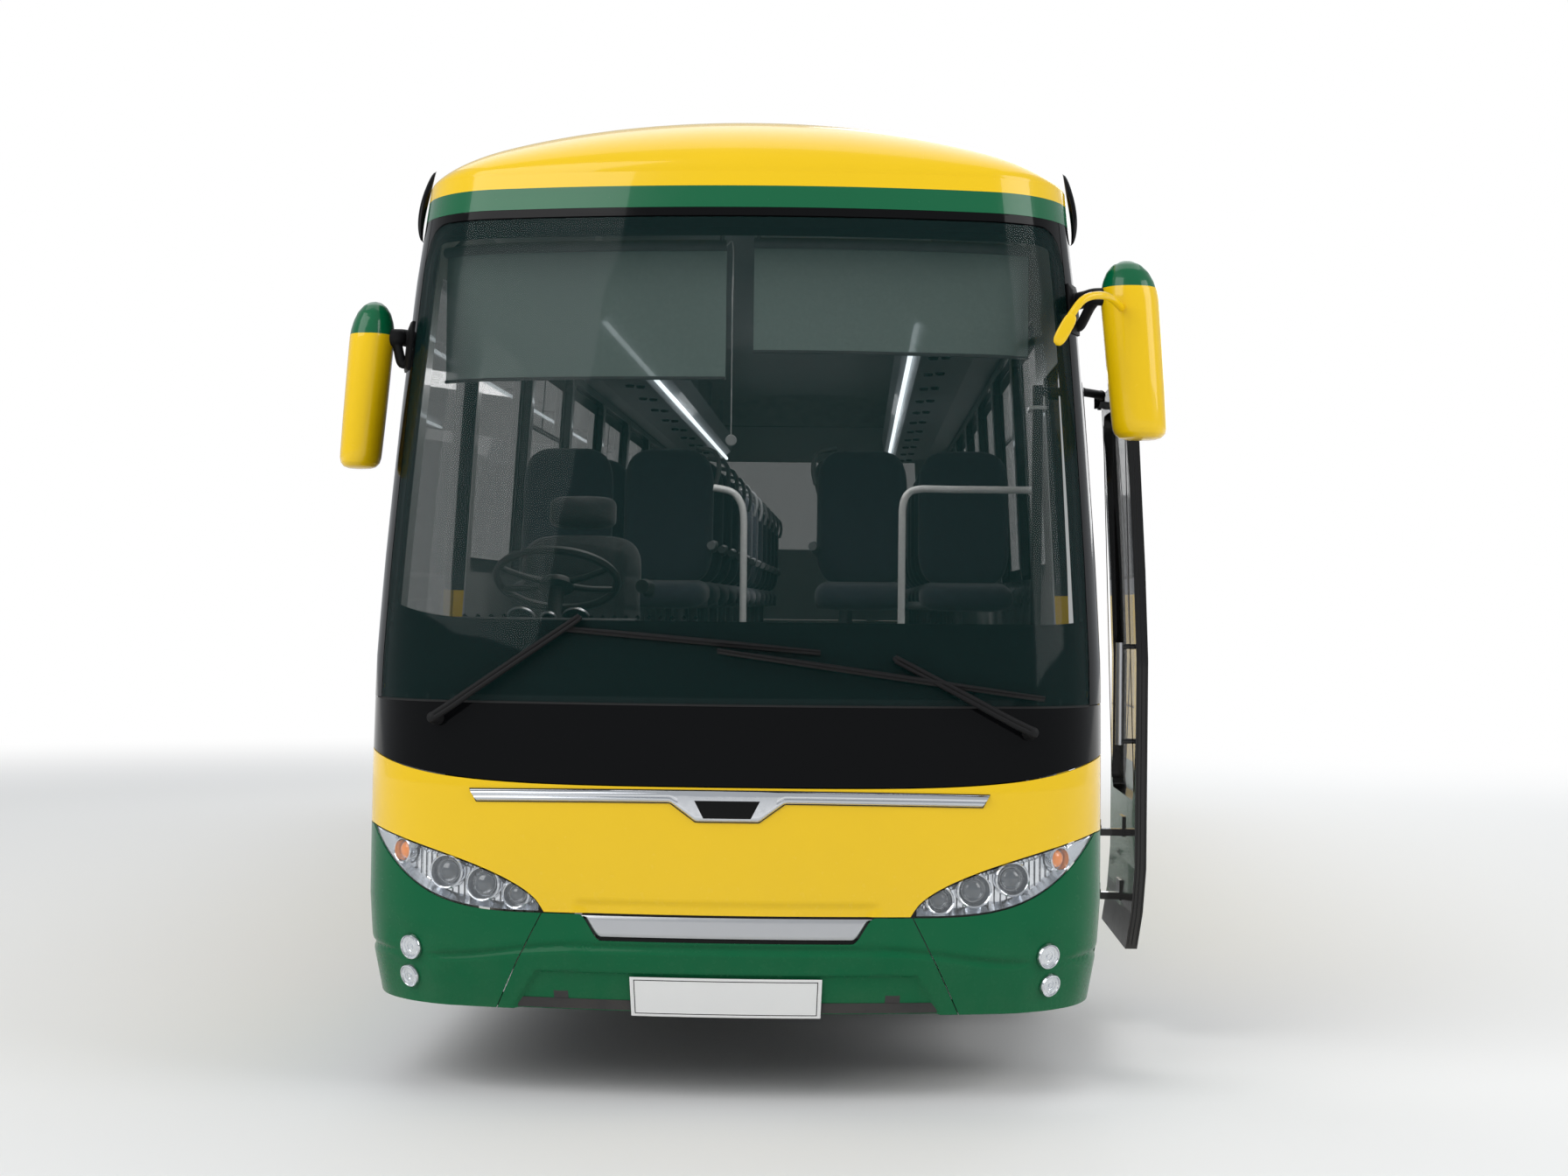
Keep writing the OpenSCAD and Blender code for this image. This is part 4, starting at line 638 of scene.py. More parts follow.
# Black mask. The gloss panel between the screen and the yellow panel, bare of any name; a
# shallow step under the screen's seam carries a thin rubber strip.
YELLOW_Z, YELLOW_TOP, LAMP_RISE = 0.629, 1.050, 0.258
LAMP_IN, LAMP_OUT = 0.613, 1.240
WAIST_Z = 0.8
GAP = 0.004


def across_x(s):
    """Distance from the middle of a place s metres along the front, at the waist."""
    return np.abs(skin(FRONT, s, WAIST_Z)[..., 0])


def yellow_top(s):
    """Upper edge of the yellow panel: level, lifting with the fifth power towards the sides."""
    return YELLOW_TOP + 0.096 * (across_x(s) / HALF) ** 5


front_plate("mask_panel", strip(REACH, lambda s: yellow_top(s) + GAP, SEAM_Z), 112, 12, 0.008,
            black_enamel, "gloss_black")
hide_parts("mask")
rubber = moulded("rubber", (0.016, 0.016, 0.016), (0.7, 1400.0, 0.2),
                 {"Specular IOR Level": 0.2})
front_plate("seam_strip", strip(SCREEN_S, SEAM_Z - 0.0035, SEAM_Z + 0.0035), 96, 2, 0.007,
            rubber, "black_plastic", 0.002)

# Yellow front panel. A gloss moulding, 8 mm thick, cut out over each headlamp; its lower edge
# turns in to a shallow trough above the bright strip.
def lamp_u(s):
    """Place along a headlamp: 0 at the inner tip, 1 at the outer."""
    return np.clip((across_x(s) - LAMP_IN) / (LAMP_OUT - LAMP_IN), 0, 1)


def lamp_top(s):
    """Upper edge of the headlamp: rises quickly from the inner tip, power 0.55."""
    return YELLOW_Z + LAMP_RISE * lamp_u(s) ** 0.55


def lamp_low(s):
    """Lower edge of the headlamp: stays low, then sweeps up, power 3.3."""
    return YELLOW_Z + LAMP_RISE * lamp_u(s) ** 3.3


def step_fold(x, edge, width):
    """Smooth step from 1 inside the edge to 0 outside it, over the width."""
    t = np.clip((edge - x) / width + 0.5, 0, 1)
    return t * t * (3 - 2 * t)


def yellow_panel(u, v):
    """Patch between the lamps' tops and the mask; the trough is a smooth step 9 mm deep."""
    s = mix(-REACH, REACH, u)
    low = np.maximum(lamp_top(s), YELLOW_Z) + GAP / 2
    z = mix(low, yellow_top(s), v ** 1.25)
    x = across_x(s)
    trough = step_fold(x, 0.505 - 0.6 * np.maximum(0, 0.675 - z), 0.03) * step_fold(z, 0.668, 0.022)
    return s, z, -0.009 * trough


front_plate("yellow_panel", yellow_panel, 240, 40, 0.008, yellow_enamel, "front_paint")
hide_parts("front_panel")

# Bumper. Three green mouldings: a middle one with a notch for the bright strip and a recessed
# field round the plate, and two corners that hold the round fog lamps in a moulded pocket.
BUMPER_LOW = 0.300
SLOT_TOP_X, SLOT_LOW_X, SLOT_LOW_Z = 0.492, 0.446, 0.543
SPLIT_TOP = float(s_at(FRONT, LAMP_IN))
SPLIT_LOW = float(s_at(FRONT, 0.792))
FOGS = ((1.082, 0.490, 0.038), (1.104, 0.387, 0.035))


def slot_line(s):
    """Lower edge of the notch: level, then a half cosine up to the yellow panel."""
    t = np.clip((across_x(s) - SLOT_LOW_X + 0.03) / (SLOT_TOP_X - SLOT_LOW_X + 0.03), 0, 1)
    return mix(SLOT_LOW_Z, YELLOW_Z, (1 - np.cos(np.pi * t)) / 2)


def bumper_top(s):
    """Upper edge of the bumper: the notch inside, the lamp's lower edge outside."""
    return np.where(across_x(s) < LAMP_IN, slot_line(s), lamp_low(s)) - GAP / 2


def bumper_relief(s, z):
    """Moulded relief, inwards only: a fold along the crease and the plate's recessed field."""
    x = across_x(s)
    crease = 0.470 + 0.05 * step_fold(x, 0.75, 0.5)
    fold = 0.010 * np.exp(-((z - crease) / 0.012) ** 2)
    field_edge = mix(0.725, 0.640, np.clip((z - 0.31) / 0.12, 0, 1))
    field = 0.012 * step_fold(x, field_edge, 0.02) * step_fold(z, 0.432, 0.014)
    pocket = 0.0
    for fx, fz, _ in FOGS:
        pocket = np.maximum(pocket, np.exp(-(((x - fx) / 0.085) ** 4 + ((z - fz) / 0.075) ** 4)))
    return -np.maximum(fold + field, 0.010 * pocket)


def bumper_middle(u, v):
    """Patch whose sides lean in from the lower corners to the lamp's inner tips."""
    s = mix(-1, 1, u) * mix(SPLIT_LOW, SPLIT_TOP, v)
    z = mix(BUMPER_LOW, bumper_top(mix(-SPLIT_TOP, SPLIT_TOP, u)), v)
    return s, z, bumper_relief(s, z)


front_plate("bumper_middle", bumper_middle, 160, 60, 0.006, green_enamel, "bumper_paint")
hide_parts("bumper")


for side, word in SIDES:
    def corner(u, v):
        """Patch from the split line to the side wall."""
        s = mix(mix(SPLIT_LOW, SPLIT_TOP, v) + GAP, REACH, u)
        z = mix(BUMPER_LOW, bumper_top(mix(SPLIT_TOP + GAP, REACH, u)), v)
        return side * s, z, bumper_relief(s, z)
    piece = front_plate("bumper_" + word, corner, 110, 60, 0.006, green_enamel, "bumper_paint",
                        turn=side < 0)
    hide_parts("bumper")


# Headlamps. A chromed tray under a clear cover follows the front's curve. It holds three lamps
# in bright bowls, the inner one small, and an amber indicator at the outside.
chrome = painted("bright_chrome", (0.66, 0.68, 0.71), (0.05, 0.1, 0.0), {"Metallic": 1.0})
reflector = painted("lamp_reflector", (0.78, 0.80, 0.83), (0.14, 0.0, 0.1), {"Metallic": 1.0})
lens_glass = finish("lens_glass", (0.035, 0.045, 0.055), None, {},
                    {"Roughness": 0.0, "Coat Weight": 1.0, "Specular IOR Level": 0.8})
cover_clear = finish("cover_clear", (0.55, 0.58, 0.60), None, {},
                     {"Roughness": 0.02, "Alpha": 0.07, "Specular IOR Level": 0.6})
amber = finish("amber_lens", (0.95, 0.26, 0.01), None, {},
               {"Roughness": 0.08, "Coat Weight": 1.0, "Subsurface Weight": 0.0})
lamp_dark = painted("lamp_dark", (0.24, 0.25, 0.26), (0.25, 0.0, 0.1), {"Metallic": 0.7})
# Lamps, each row [distance from the middle, height, bowl radius, lens radius, is amber]
LAMP_ROW = ((0.706, 0.684, 0.044, 0.026, False), (0.820, 0.716, 0.055, 0.036, False),
            (0.948, 0.752, 0.055, 0.036, False), (1.118, 0.812, 0.040, 0.030, True))
LAMP_EDGE = 0.0048
for side, word in SIDES:
    def tray(u, v):
        """Field between the lamp's edges, drawn from the inner tip outwards."""
        s = mix(float(s_at(FRONT, LAMP_IN + 0.014)), float(s_at(FRONT, LAMP_OUT - 0.006)), u)
        low, high = lamp_low(s) + LAMP_EDGE, lamp_top(s) - LAMP_EDGE
        middle = (low + high) / 2
        z = mix(np.minimum(low, middle - 0.002), np.maximum(high, middle + 0.002), v)
        rim = np.minimum(np.minimum(v, 1 - v) * (high - low).clip(0.004), u * 0.5)
        return side * s, z, -0.040 * np.clip(rim / 0.020, 0, 1) ** 0.8
    front_plate("lamp_tray_" + word, tray, 96, 28, 0.004, reflector, "lamp_body",
                -0.0055, turn=side < 0)
    front_plate("lamp_cover_" + word, lambda u, v: tray(u, v)[:2], 72, 12, 0.003, cover_clear,
                "lamp_cover", turn=side < 0)
    bowls, rings, balls, ambers, darks = [], [], [], [], []
    for x, z, bowl, lens, is_amber in LAMP_ROW:
        place, normal = on_front(side * x, z, -0.046)
        t = np.linspace(0, 1, 12)
        bowls.append(lathe(np.stack([mix(lens * 0.85, bowl - 0.003, t),
                                     0.002 + 0.030 * t ** 2], -1), place, normal))
        rings.append(lathe([(bowl - 0.004, 0.030), (bowl - 0.003, 0.0355), (bowl, 0.0375),
                            (bowl + 0.004, 0.034), (bowl + 0.005, 0.026), (bowl + 0.004, 0.004),
                            (bowl - 0.004, 0.004), (bowl - 0.004, 0.030)], place, normal))
        target = ambers if is_amber else balls
        target.append(lathe(lens_line(lens, 0.010, lens * 0.62, lens * 0.98, 0.004, 10), place,
                            normal))
        darks.append(lathe([(lens + 0.0005, 0.002), (lens + 0.0005, 0.012), (lens + 0.004, 0.012),
                            (lens + 0.005, 0.002)], place, normal))
    # Ribbed filler between the bowls
    for x in np.linspace(LAMP_IN + 0.05, LAMP_OUT - 0.05, 26):
        s = float(s_at(FRONT, x))
        low, high = float(lamp_low(s)) + 0.02, float(lamp_top(s)) - 0.02
        if high - low > 0.02:
            a, b = (skin(FRONT, side * s, z, -0.0425) for z in (low, high))
            _, n = on_front(side * x, (low + high) / 2)
            darks.append((np.array([a - (0.002, 0, 0), b - (0.002, 0, 0), b + (0.002, 0, 0),
                                    a + (0.002, 0, 0), a + 0.003 * n, b + 0.003 * n]),
                          [(0, 4, 5, 1), (4, 3, 2, 5), (0, 3, 4), (1, 5, 2), (0, 1, 2, 3)]))
    for label, parts, material in (("bowl", bowls, reflector), ("ring", rings, chrome),
                                   ("lens", balls, lens_glass), ("amber", ambers, amber),
                                   ("dark", darks, lamp_dark)):
        add_joined(f"lamp_{label}_{word}", parts, material,
                   "lamp_cover" if label == "lens" else "lamp_body")
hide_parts("headlamps")
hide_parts("lamp_glass")

# Fog lamps. Two round lamps a side, screwed to the bumper's pocket: a bright ring, a fluted
# bright bowl and a clear domed lens.
for side, word in SIDES:
    rings, bowls, lenses = [], [], []
    for x, z, radius in FOGS:
        s = float(s_at(FRONT, x))
        relief = float(bumper_relief(np.array([s]), np.array([z]))[0])
        place, normal = on_front(side * x, z, relief + 0.0005)
        rings.append(lathe([(radius - 0.003, 0.0), (radius - 0.002, 0.011), (radius, 0.0135),
                            (radius + 0.003, 0.0125), (radius + 0.006, 0.006),
                            (radius + 0.0065, 0.0), (radius - 0.003, 0.0)], place, normal))
        bowls.append(lathe([(0.0, 0.008), (radius * 0.22, 0.008), (radius * 0.24, 0.004),
                            (radius * 0.45, 0.002), (radius * 0.47, 0.004), (radius * 0.72, 0.004),
                            (radius * 0.74, 0.006), (radius - 0.002, 0.009), (radius - 0.002, 0.0),
                            (0.0, 0.0)], place, normal))
        lenses.append(lathe(lens_line(radius - 0.0025, 0.0105, 0.006, radius - 0.003, 0.0100, 9,
                                      0.15), place, normal))
    add_joined("fog_ring_" + word, rings, chrome, "lamp_body")
    add_joined("fog_bowl_" + word, bowls, reflector, "lamp_body")
    add_joined("fog_lens_" + word, lenses, cover_clear, "lamp_cover")

# Bright trim. A chromed wing with a plain trapezoid field at its middle, bare of any badge,
# and the satin strip in the bumper's notch.
satin = painted("satin_silver", (0.52, 0.53, 0.55), (0.28, 0.2, 0.02), {"Metallic": 0.85})
BAR_X, BAR_Z = 0.864, 1.037
bar_s = float(s_at(FRONT, BAR_X))


def wing(u, v):
    """Bar 37 mm high with slanted tips and a fold along it; its lower edge dips to the field."""
    s = mix(-bar_s, bar_s, u) * (1 - 0.028 * (1 - v))
    a = np.abs(s) / bar_s
    top = BAR_Z + 0.002 - 0.010 * a ** 2
    dip = 0.062 * np.clip((0.190 - np.abs(s)) / 0.085, 0, 1)
    z = mix(top - 0.037 - dip, top, v)
    edge = np.minimum(v, 1 - v) * (0.037 + dip)
    fold = 0.0085 * np.sin(np.clip(edge / 0.012, 0, 1) * np.pi / 2)
    return s, z, fold - 0.0035 * np.exp(-((v - 0.42) / 0.06) ** 2) * (a > 0.2)


front_plate("bright_wing", wing, 200, 28, 0.004, chrome, "bright_trim", 0.0045)
front_plate("wing_shadow", lambda u, v: (
    wing(u, v)[0] * 1.004, wing(u, v)[1] + mix(-0.004, 0.004, v)), 160, 4, 0.003, rubber,
    "black_plastic", 0.0035)
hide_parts("front_trim")


def badge_field(u, v):
    """Trapezoid in the wing's middle: wide above, narrow below."""
    z = mix(0.950, 1.008, v)
    return mix(-1, 1, u) * mix(0.078, 0.108, v), z


front_plate("badge_field", badge_field, 24, 6, 0.004, black_enamel, "gloss_black", 0.0145)
strip_s = float(s_at(FRONT, SLOT_TOP_X - 0.012))


def notch_strip(u, v):
    """Strip that fills the notch, its edges rolled over 12 mm and 4 mm high."""
    s = mix(-strip_s, strip_s, u)
    low = np.minimum(slot_line(s) + 0.012, YELLOW_Z - 0.010)
    z = mix(low, YELLOW_Z - 0.006, v)
    edge = np.minimum(v, 1 - v) * (YELLOW_Z - 0.006 - low)
    return s, z, 0.004 * np.sin(np.clip(edge / 0.012, 0, 1) * np.pi / 2)


front_plate("notch_strip", notch_strip, 120, 14, 0.003, satin, "bright_trim", -0.006)
front_plate("notch_shadow", strip(strip_s, lambda s: slot_line(s) - 0.004, YELLOW_Z + 0.010),
            100, 3, 0.002, rubber, "black_plastic", -0.014)

# Number plates. Blank white plates on the bumper and the tail, each with a pressed rim and a
# thin black border line.
PLATE_HALF, PLATE_LOW, PLATE_TOP = 0.323, 0.002, 0.135
LINE_HALF, LINE_LOW, LINE_TOP = 0.309, 0.012, 0.125
plate_white = painted("plate_white", (0.78, 0.78, 0.77), (0.35, 0.0, 0.05))
for name, end, low in (("plate_front", FRONT, 0.288), ("plate_rear", REAR, 0.395)):
    def plate_field(u, v):
        """Flat field with a rounded rim, 8 mm wide and 1 mm proud."""
        s, z = mix(-PLATE_HALF, PLATE_HALF, u), low + mix(PLATE_LOW, PLATE_TOP, v)
        edge = np.minimum(np.minimum(u, 1 - u) * 2 * PLATE_HALF,
                          np.minimum(v, 1 - v) * (PLATE_TOP - PLATE_LOW))
        return s, z, 0.0010 * np.clip(1 - np.abs(edge - 0.004) / 0.004, 0, 1)
    front_plate(name, plate_field, 160, 40, 0.002, plate_white, "plate_white", 0.0010, end)
    corners = np.array([(x * LINE_HALF, z) for x, z in (
        (-1, LINE_LOW), (1, LINE_LOW), (1, LINE_TOP), (-1, LINE_TOP), (-1, LINE_LOW))])
    line = np.concatenate([mix(a, b, np.linspace(0, 1, 12)[:, None])
                           for a, b in zip(corners, corners[1:])])
    border = skin(end, line[:, 0], low + line[:, 1], np.full(len(line), 0.0005))
    add_joined(name + "_border", [tube(border, 0.0016, 6, 1)], rubber, "black_plastic")
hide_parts("plates")


# Side walls, roof and rear. Sheet over a steel frame, painted in bands: a green skirt, a yellow
# waist, a black window band, a green gutter band and a yellow roof. The inner faces are lined.
LINING = (0.46, 0.47, 0.46)


def livery(within):
    """Band colours outside and the lining's grey where the test within(tree, x, y, z) is 1."""
    steps = ((0.890, YELLOW), (1.700, BLACK), (3.055, GREEN), (3.165, YELLOW))

    def build(tree):
        inside = within(tree, *split(tree, object_space(tree)))
        return blended(tree, inside, bands(steps, GREEN)(tree), LINING)
    return build


def size_of(tree, value):
    """The value without its sign."""
    return math_of(tree, "MAXIMUM", value, math_of(tree, "MULTIPLY", value, -1.0))


def inside_wall(tree, x, y, z):
    """1 where |x| < 1.225 - 0.058 max(0, z - 1.45)."""
    do = partial(math_of, tree)
    lean = do("MULTIPLY", do("MAXIMUM", do("SUBTRACT", z, 1.45), 0.0), 0.058)
    return do("LESS_THAN", do("ADD", size_of(tree, x), lean), 1.225)


def inside_roof(tree, x, y, z):
    """1 inside an ellipse of half axes 1.135 and 0.238 m about the gutter line."""
    do = partial(math_of, tree)
    across = do("DIVIDE", x, 1.135)
    rise = do("DIVIDE", do("SUBTRACT", z, GUTTER), 0.238)
    return do("LESS_THAN", do("ADD", do("MULTIPLY", across, across), do("MULTIPLY", rise, rise)),
              1.0)


def inside_tail(tree, x, y, z):
    """1 on faces turned into the cabin: n_y (y - 5.2) + n_x x [|x| > 1.15] < -0.12."""
    do = partial(math_of, tree)
    n_x, n_y, _ = split(tree, object_space(tree, "Normal"))
    at_side = do("MULTIPLY", do("GREATER_THAN", size_of(tree, x), 1.15), x)
    along = do("MULTIPLY", n_y, do("SUBTRACT", y, 5.2))
    return do("LESS_THAN", do("ADD", do("MULTIPLY", n_x, at_side), along), -0.12)


side_enamel = finish("side_enamel", livery(inside_wall), LIFE, GLOSS, ENAMEL)
tail_enamel = finish("tail_enamel", livery(inside_tail), LIFE, GLOSS, ENAMEL)
roof_enamel = finish("roof_enamel", livery(inside_roof), LIFE, dict(GLOSS, Roughness=0.35),
                     {"Coat Weight": 0.12, "Specular IOR Level": 0.12})
dress(side_enamel, "wall_left", "wall_right", "bay_door_l1", "bay_door_l2", "bay_door_r1",
      "bay_door_r2")
dress(roof_enamel, "roof")
dress(tail_enamel, "rear_wall", "engine_lid")


def ring(y0, y1, z0, z1, radius, width):
    """Closed loops of (y, z) for a rounded frame: the outer line and one width inside it."""
    loops = []
    for inset in (0.0, width):
        r = max(radius - inset, 0.004)
        points = []
        left, right = y0 + inset + r, y1 - inset - r
        low, high = z0 + inset + r, z1 - inset - r
        for cy, cz, start in ((right, high, 0), (left, high, 90), (left, low, 180),
                              (right, low, 270)):
            a = np.radians(np.linspace(start, start + 90, 9))
            points.append(np.stack([cy + r * np.cos(a), cz + r * np.sin(a)], -1))
        loops.append(np.concatenate(points))
    return loops


def side_frame(y0, y1, z0, z1, radius, width, outer, inner, side, crown=0.0):
    """A frame on the side skin between the depths outer and inner, with an optional crown."""
    big, small = ring(y0, y1, z0, z1, radius, width)
    middle = (big + small) / 2
    rows = ((big, inner), (big, outer), (middle, outer - crown), (small, outer), (small, inner),
            (big, inner))
    return closed(np.stack([xyz(side * (half_at(line[:, 1]) - depth), *line.T)
                            for line, depth in rows], 1))


# Tail lining. Pale moulded ceiling inside the rear dome, 16 mm under its skin, that closes the
# saloon behind the last row.
lining = moulded("tail_lining", LINING, (0.6, 500.0, 0.2))
grids = [dome(REAR, 0.88, 0.42, 0.276, 0.276, 40, 16, depth)[1] for depth in (0.016, 0.020)]
add_joined("tail_ceiling", [shell_arrays(*grids)], lining, "rack_plastic")

# Side windows. Tinted bonded panes with a black border fired on the inside, a rubber gasket
# round each, and a sliding top light in every other one.
tint = painted("side_glass", (0.015, 0.022, 0.024), (0.01, 0.0, 0.0, 0.0),
               {"Alpha": 0.50, "Specular IOR Level": 0.35})
dress(tint, "glazing")
WINDOWS = [(y, y + 1.42) for y in np.arange(6) * 1.50 - 4.00]
gaskets, borders, bars = [], [], []
for side in (1, -1):
    for k, (y0, y1) in enumerate(WINDOWS):
        gaskets.append(side_frame(y0 + 0.0006, y1 - 0.0006, 1.7806, 2.8594, 0.060, 0.014,
                                  0.001, 0.0038, side, 0.0008))
        borders.append(side_frame(y0 + 0.004, y1 - 0.004, 1.784, 2.856, 0.060, 0.060,
                                  0.0125, 0.014, side))
        if k % 2:
            bars.append(side_frame(y0 + 0.03, y1 - 0.03, 2.520, 2.545, 0.010, 0.010,
                                   0.001, 0.0038, side))
            middle = (y0 + y1) / 2
            bars.append(side_frame(middle - 0.012, middle + 0.012, 2.545, 2.84, 0.008, 0.010,
                                   0.001, 0.0038, side))
add_joined("window_gaskets", gaskets, rubber, "black_plastic")
add_joined("window_borders", borders, frit_black, "gloss_black")
add_joined("window_bars", bars, satin, "bright_trim")

# Luggage bays. Each flap has a rubber edge and two black T-handles on round plates; amber
# side markers sit in small bezels above the skirt line.
BAYS = (("1", -2.390, -0.100), ("2", -0.100, 2.190))
HANDLE_Z, MARKER_Z = 0.42, 0.79
markers, bezels = [], []
for side, side_word in SIDES:
    for number, y0, y1 in BAYS:
        edge = side_frame(y0 + 0.0065, y1 - 0.0065, 0.304, 1.1635, 0.010, 0.006, -0.0008, 0.0010,
                          side)
        handles, back = [edge], half_at(HANDLE_Z)
        for y in (mix(y0, y1, 0.22), mix(y0, y1, 0.78)):
            handles.append(lathe([(0.0, -0.004), (0.030, -0.004), (0.030, 0.0015), (0.026, 0.0035),
                                  (0.0, 0.0035)], (side * back, y, HANDLE_Z), (side, 0, 0), 24))
            for line, radius, smooth in (
                    (((0.001, 0), (0.011, 0)), 0.008, 1),
                    (((0.012, -0.034), (0.014, 0), (0.012, 0.034)), 0.0062, 4)):
                handles.append(tube([(side * (back + out), y + off, HANDLE_Z)
                                     for out, off in line], radius, 12, smooth))
        flap = side_word[0] + number
        add_joined("bay_handles_" + flap, handles, rubber, "black_plastic", "flap_" + flap)
    for y in (-2.52, 2.32, 5.45):
        place = (side * half_at(MARKER_Z), y, MARKER_Z)
        markers.append(lathe([(0.0, 0.0), (0.017, 0.0), (0.017, 0.006), (0.013, 0.010),
                              (0.0, 0.0115)], place, (side, 0, 0), 28))
        bezels.append(lathe([(0.0165, -0.002), (0.0235, -0.002), (0.0230, 0.003), (0.0175, 0.006),
                             (0.0165, 0.004), (0.0165, -0.002)], place, (side, 0, 0), 28))
add_joined("marker_lenses", markers, amber, "tail_red")
add_joined("marker_bezels", bezels, rubber, "black_plastic")

# Rear lamps. Four round lamps a side, each in a chromed ring: three with a ribbed red lens and
# one amber.
red_lens = moulded("red_lens", (0.55, 0.004, 0.006), (0.12, 160.0, 0.5), {"Coat Weight": 1.0})
TAIL_LAMP_X, AMBER_Z = 0.930, 1.13
rings, reds, ambers = [], [], []
for side in (1, -1):
    for z, radius in ((0.98, 0.055), (AMBER_Z, 0.055), (1.28, 0.055), (0.52, 0.050)):
        place, normal = outward(REAR, side * TAIL_LAMP_X, z)
        rings.append(lathe([(radius - 0.008, 0.001), (radius, 0.001), (radius, 0.010),
                            (radius - 0.003, 0.0145), (radius - 0.007, 0.012),
                            (radius - 0.008, 0.001)], place, normal))
        line = lens_line(radius - 0.008, 0.010, 0.012, radius - 0.008, 0.001, 12)
        line[:12, 1] += 0.0007 * np.cos(np.arange(12) * np.pi)
        (ambers if z == AMBER_Z else reds).append(lathe(line, place, normal))
add_joined("tail_rings", rings, chrome, "bright_trim")
add_joined("tail_reds", reds, red_lens, "tail_red")
add_joined("tail_ambers", ambers, amber, "tail_red")
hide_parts("tail_lamps")


# Mirrors. Two moulded heads on black brackets: yellow housings with green caps, a black rear
# frame round the glass; the door side also has a small kerb mirror on a bent yellow stalk.
moulded_black = moulded("moulded_black", (0.009, 0.009, 0.0095), (0.5, 1100.0, 0.25),
                        {"Specular IOR Level": 0.15})
mirror_face = painted("mirror_face", (0.86, 0.88, 0.89), (0.02, 0.05, 0.0), {"Metallic": 1.0})
dress(mirror_face, "mirror_glass")
LEAN = 0.085
# Heads, each row [word, side, x, y, top, low, width, depth, foot's place, cap's lower edge]
HEADS = (("right", -1, 1.345, -5.350, 2.748, 2.113, 0.158, 0.210, 1.400, 2.605),
         ("left", 1, 1.380, -5.450, 2.896, 2.231, 0.206, 0.230, 1.365, 2.775))
for word, side, x0, y0, top, low, width, depth, foot, cap_z in HEADS:
    u, v = lattice(turns(64), np.linspace(0, 1, 48))
    height = top - low
    knots = np.array([[0.0, 0.0], [0.004, 0.50], [0.014, 0.72], [0.035, 0.86], [0.07, 0.93],
                      [0.30, 0.965], [0.74, 1.0], [0.785, 1.0], [0.83, 0.965], [0.88, 0.885],
                      [0.93, 0.74], [0.97, 0.52], [0.992, 0.27], [1.0, 0.0]])
    rows = np.interp(np.linspace(0, 1, 48), np.linspace(0, 1, 14), knots[:, 0])
    span = np.interp(rows, knots[:, 0], knots[:, 1])
    z = low + 0.013 + rows * (height - 0.033)
    w, d = (width / 2 - 0.0015) * span, (depth / 2 - 0.0015) * span
    flat = np.minimum(d * np.sin(u), 0.0385)
    lean = side * LEAN * (low + height / 2 - z)
    head = xyz(side * x0 + lean + w * power(np.cos(u), 0.85), y0 + flat, z)
    paint = finish("mirror_enamel_" + word, bands(((cap_z, GREEN),), YELLOW), LIFE, GLOSS,
                   ENAMEL)
    add_joined("mirror_head_" + word, [closed(head)], paint, "front_paint")
    half_w, frame_low, frame_top = width / 2 - 0.014, low + 0.060, top - 0.100
    big, small = ring(-half_w, half_w, frame_low, frame_top, 0.030, 0.010)
    rows = ((big, 0.0365), (big, 0.0405), (small, 0.0405), (small, 0.0365), (big, 0.0365))
    grid = np.stack([xyz(side * (x0 + LEAN * (low + height / 2 - line[:, 1])) + line[:, 0],
                         y0 + off, line[:, 1]) for line, off in rows], 1)
    add_joined("mirror_frame_" + word, [closed(grid)], moulded_black, "black_plastic")
    z1 = top - 0.150
    base, out = outward(FRONT, side * foot, z1)
    lower = skin(FRONT, side * foot, z1 - 0.090, 0.0)
    elbow = np.array([side * 1.245, y0 - 0.012, z1])
    head_in = np.array([side * (x0 - 0.010), y0 - 0.012, z1])
    front_plate("mirror_foot_" + word, lambda u, v: (
        side * (foot + mix(-0.055, 0.055, u)), z1 + mix(-0.120, 0.060, v),
        0.006 * np.clip(np.minimum(np.minimum(u, 1 - u) * 5, np.minimum(v, 1 - v) * 8), 0, 1)),
        24, 36, 0.012, moulded_black, "black_plastic", 0.0066, turn=side < 0)
    arm = tube([base + 0.004 * out, base + 0.028 * out, mix(base + 0.028 * out, elbow, 0.5), elbow,
                mix(elbow, head_in, 0.5), head_in], 0.031, 20)
    strut = tube([lower + 0.004 * out, lower + 0.022 * out, mix(lower + 0.022 * out, elbow, 0.6),
                  elbow - (0, 0, 0.012)], 0.018, 16)
    add_joined("mirror_arm_" + word, [arm, strut, lathe([(0.0, 0), (0.028, 0), (0.028, 0.022),
               (0.022, 0.030), (0.0, 0.030)], base + 0.004 * out, out)], moulded_black,
               "black_plastic")
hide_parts("mirrors")
stalk = tube([(1.345, -5.500, 2.690), (1.262, -5.700, 2.715), (1.180, -5.770, 2.700),
              (1.130, -5.790, 2.640), (1.118, -5.797, 2.610)], 0.0135, 14)
u, v = lattice(turns(40), np.linspace(-1, 1, 21))
swell = np.sqrt(np.maximum(0, 1 - np.abs(v) ** 4))
plate = xyz(0.022 * power(np.cos(u), 0.5) * swell, 0.0125 * power(np.sin(u), 0.5) * swell,
            0.061 * v)
KERB_TILT, KERB_AT = math.radians(28), (1.108, -5.800, 2.590)
c, s = math.cos(KERB_TILT), math.sin(KERB_TILT)
plate = plate @ np.array([[c, 0, s], [0, 1, 0], [-s, 0, c]]).T + KERB_AT
add_joined("kerb_mirror", [stalk, closed(plate)], yellow_enamel, "front_paint")

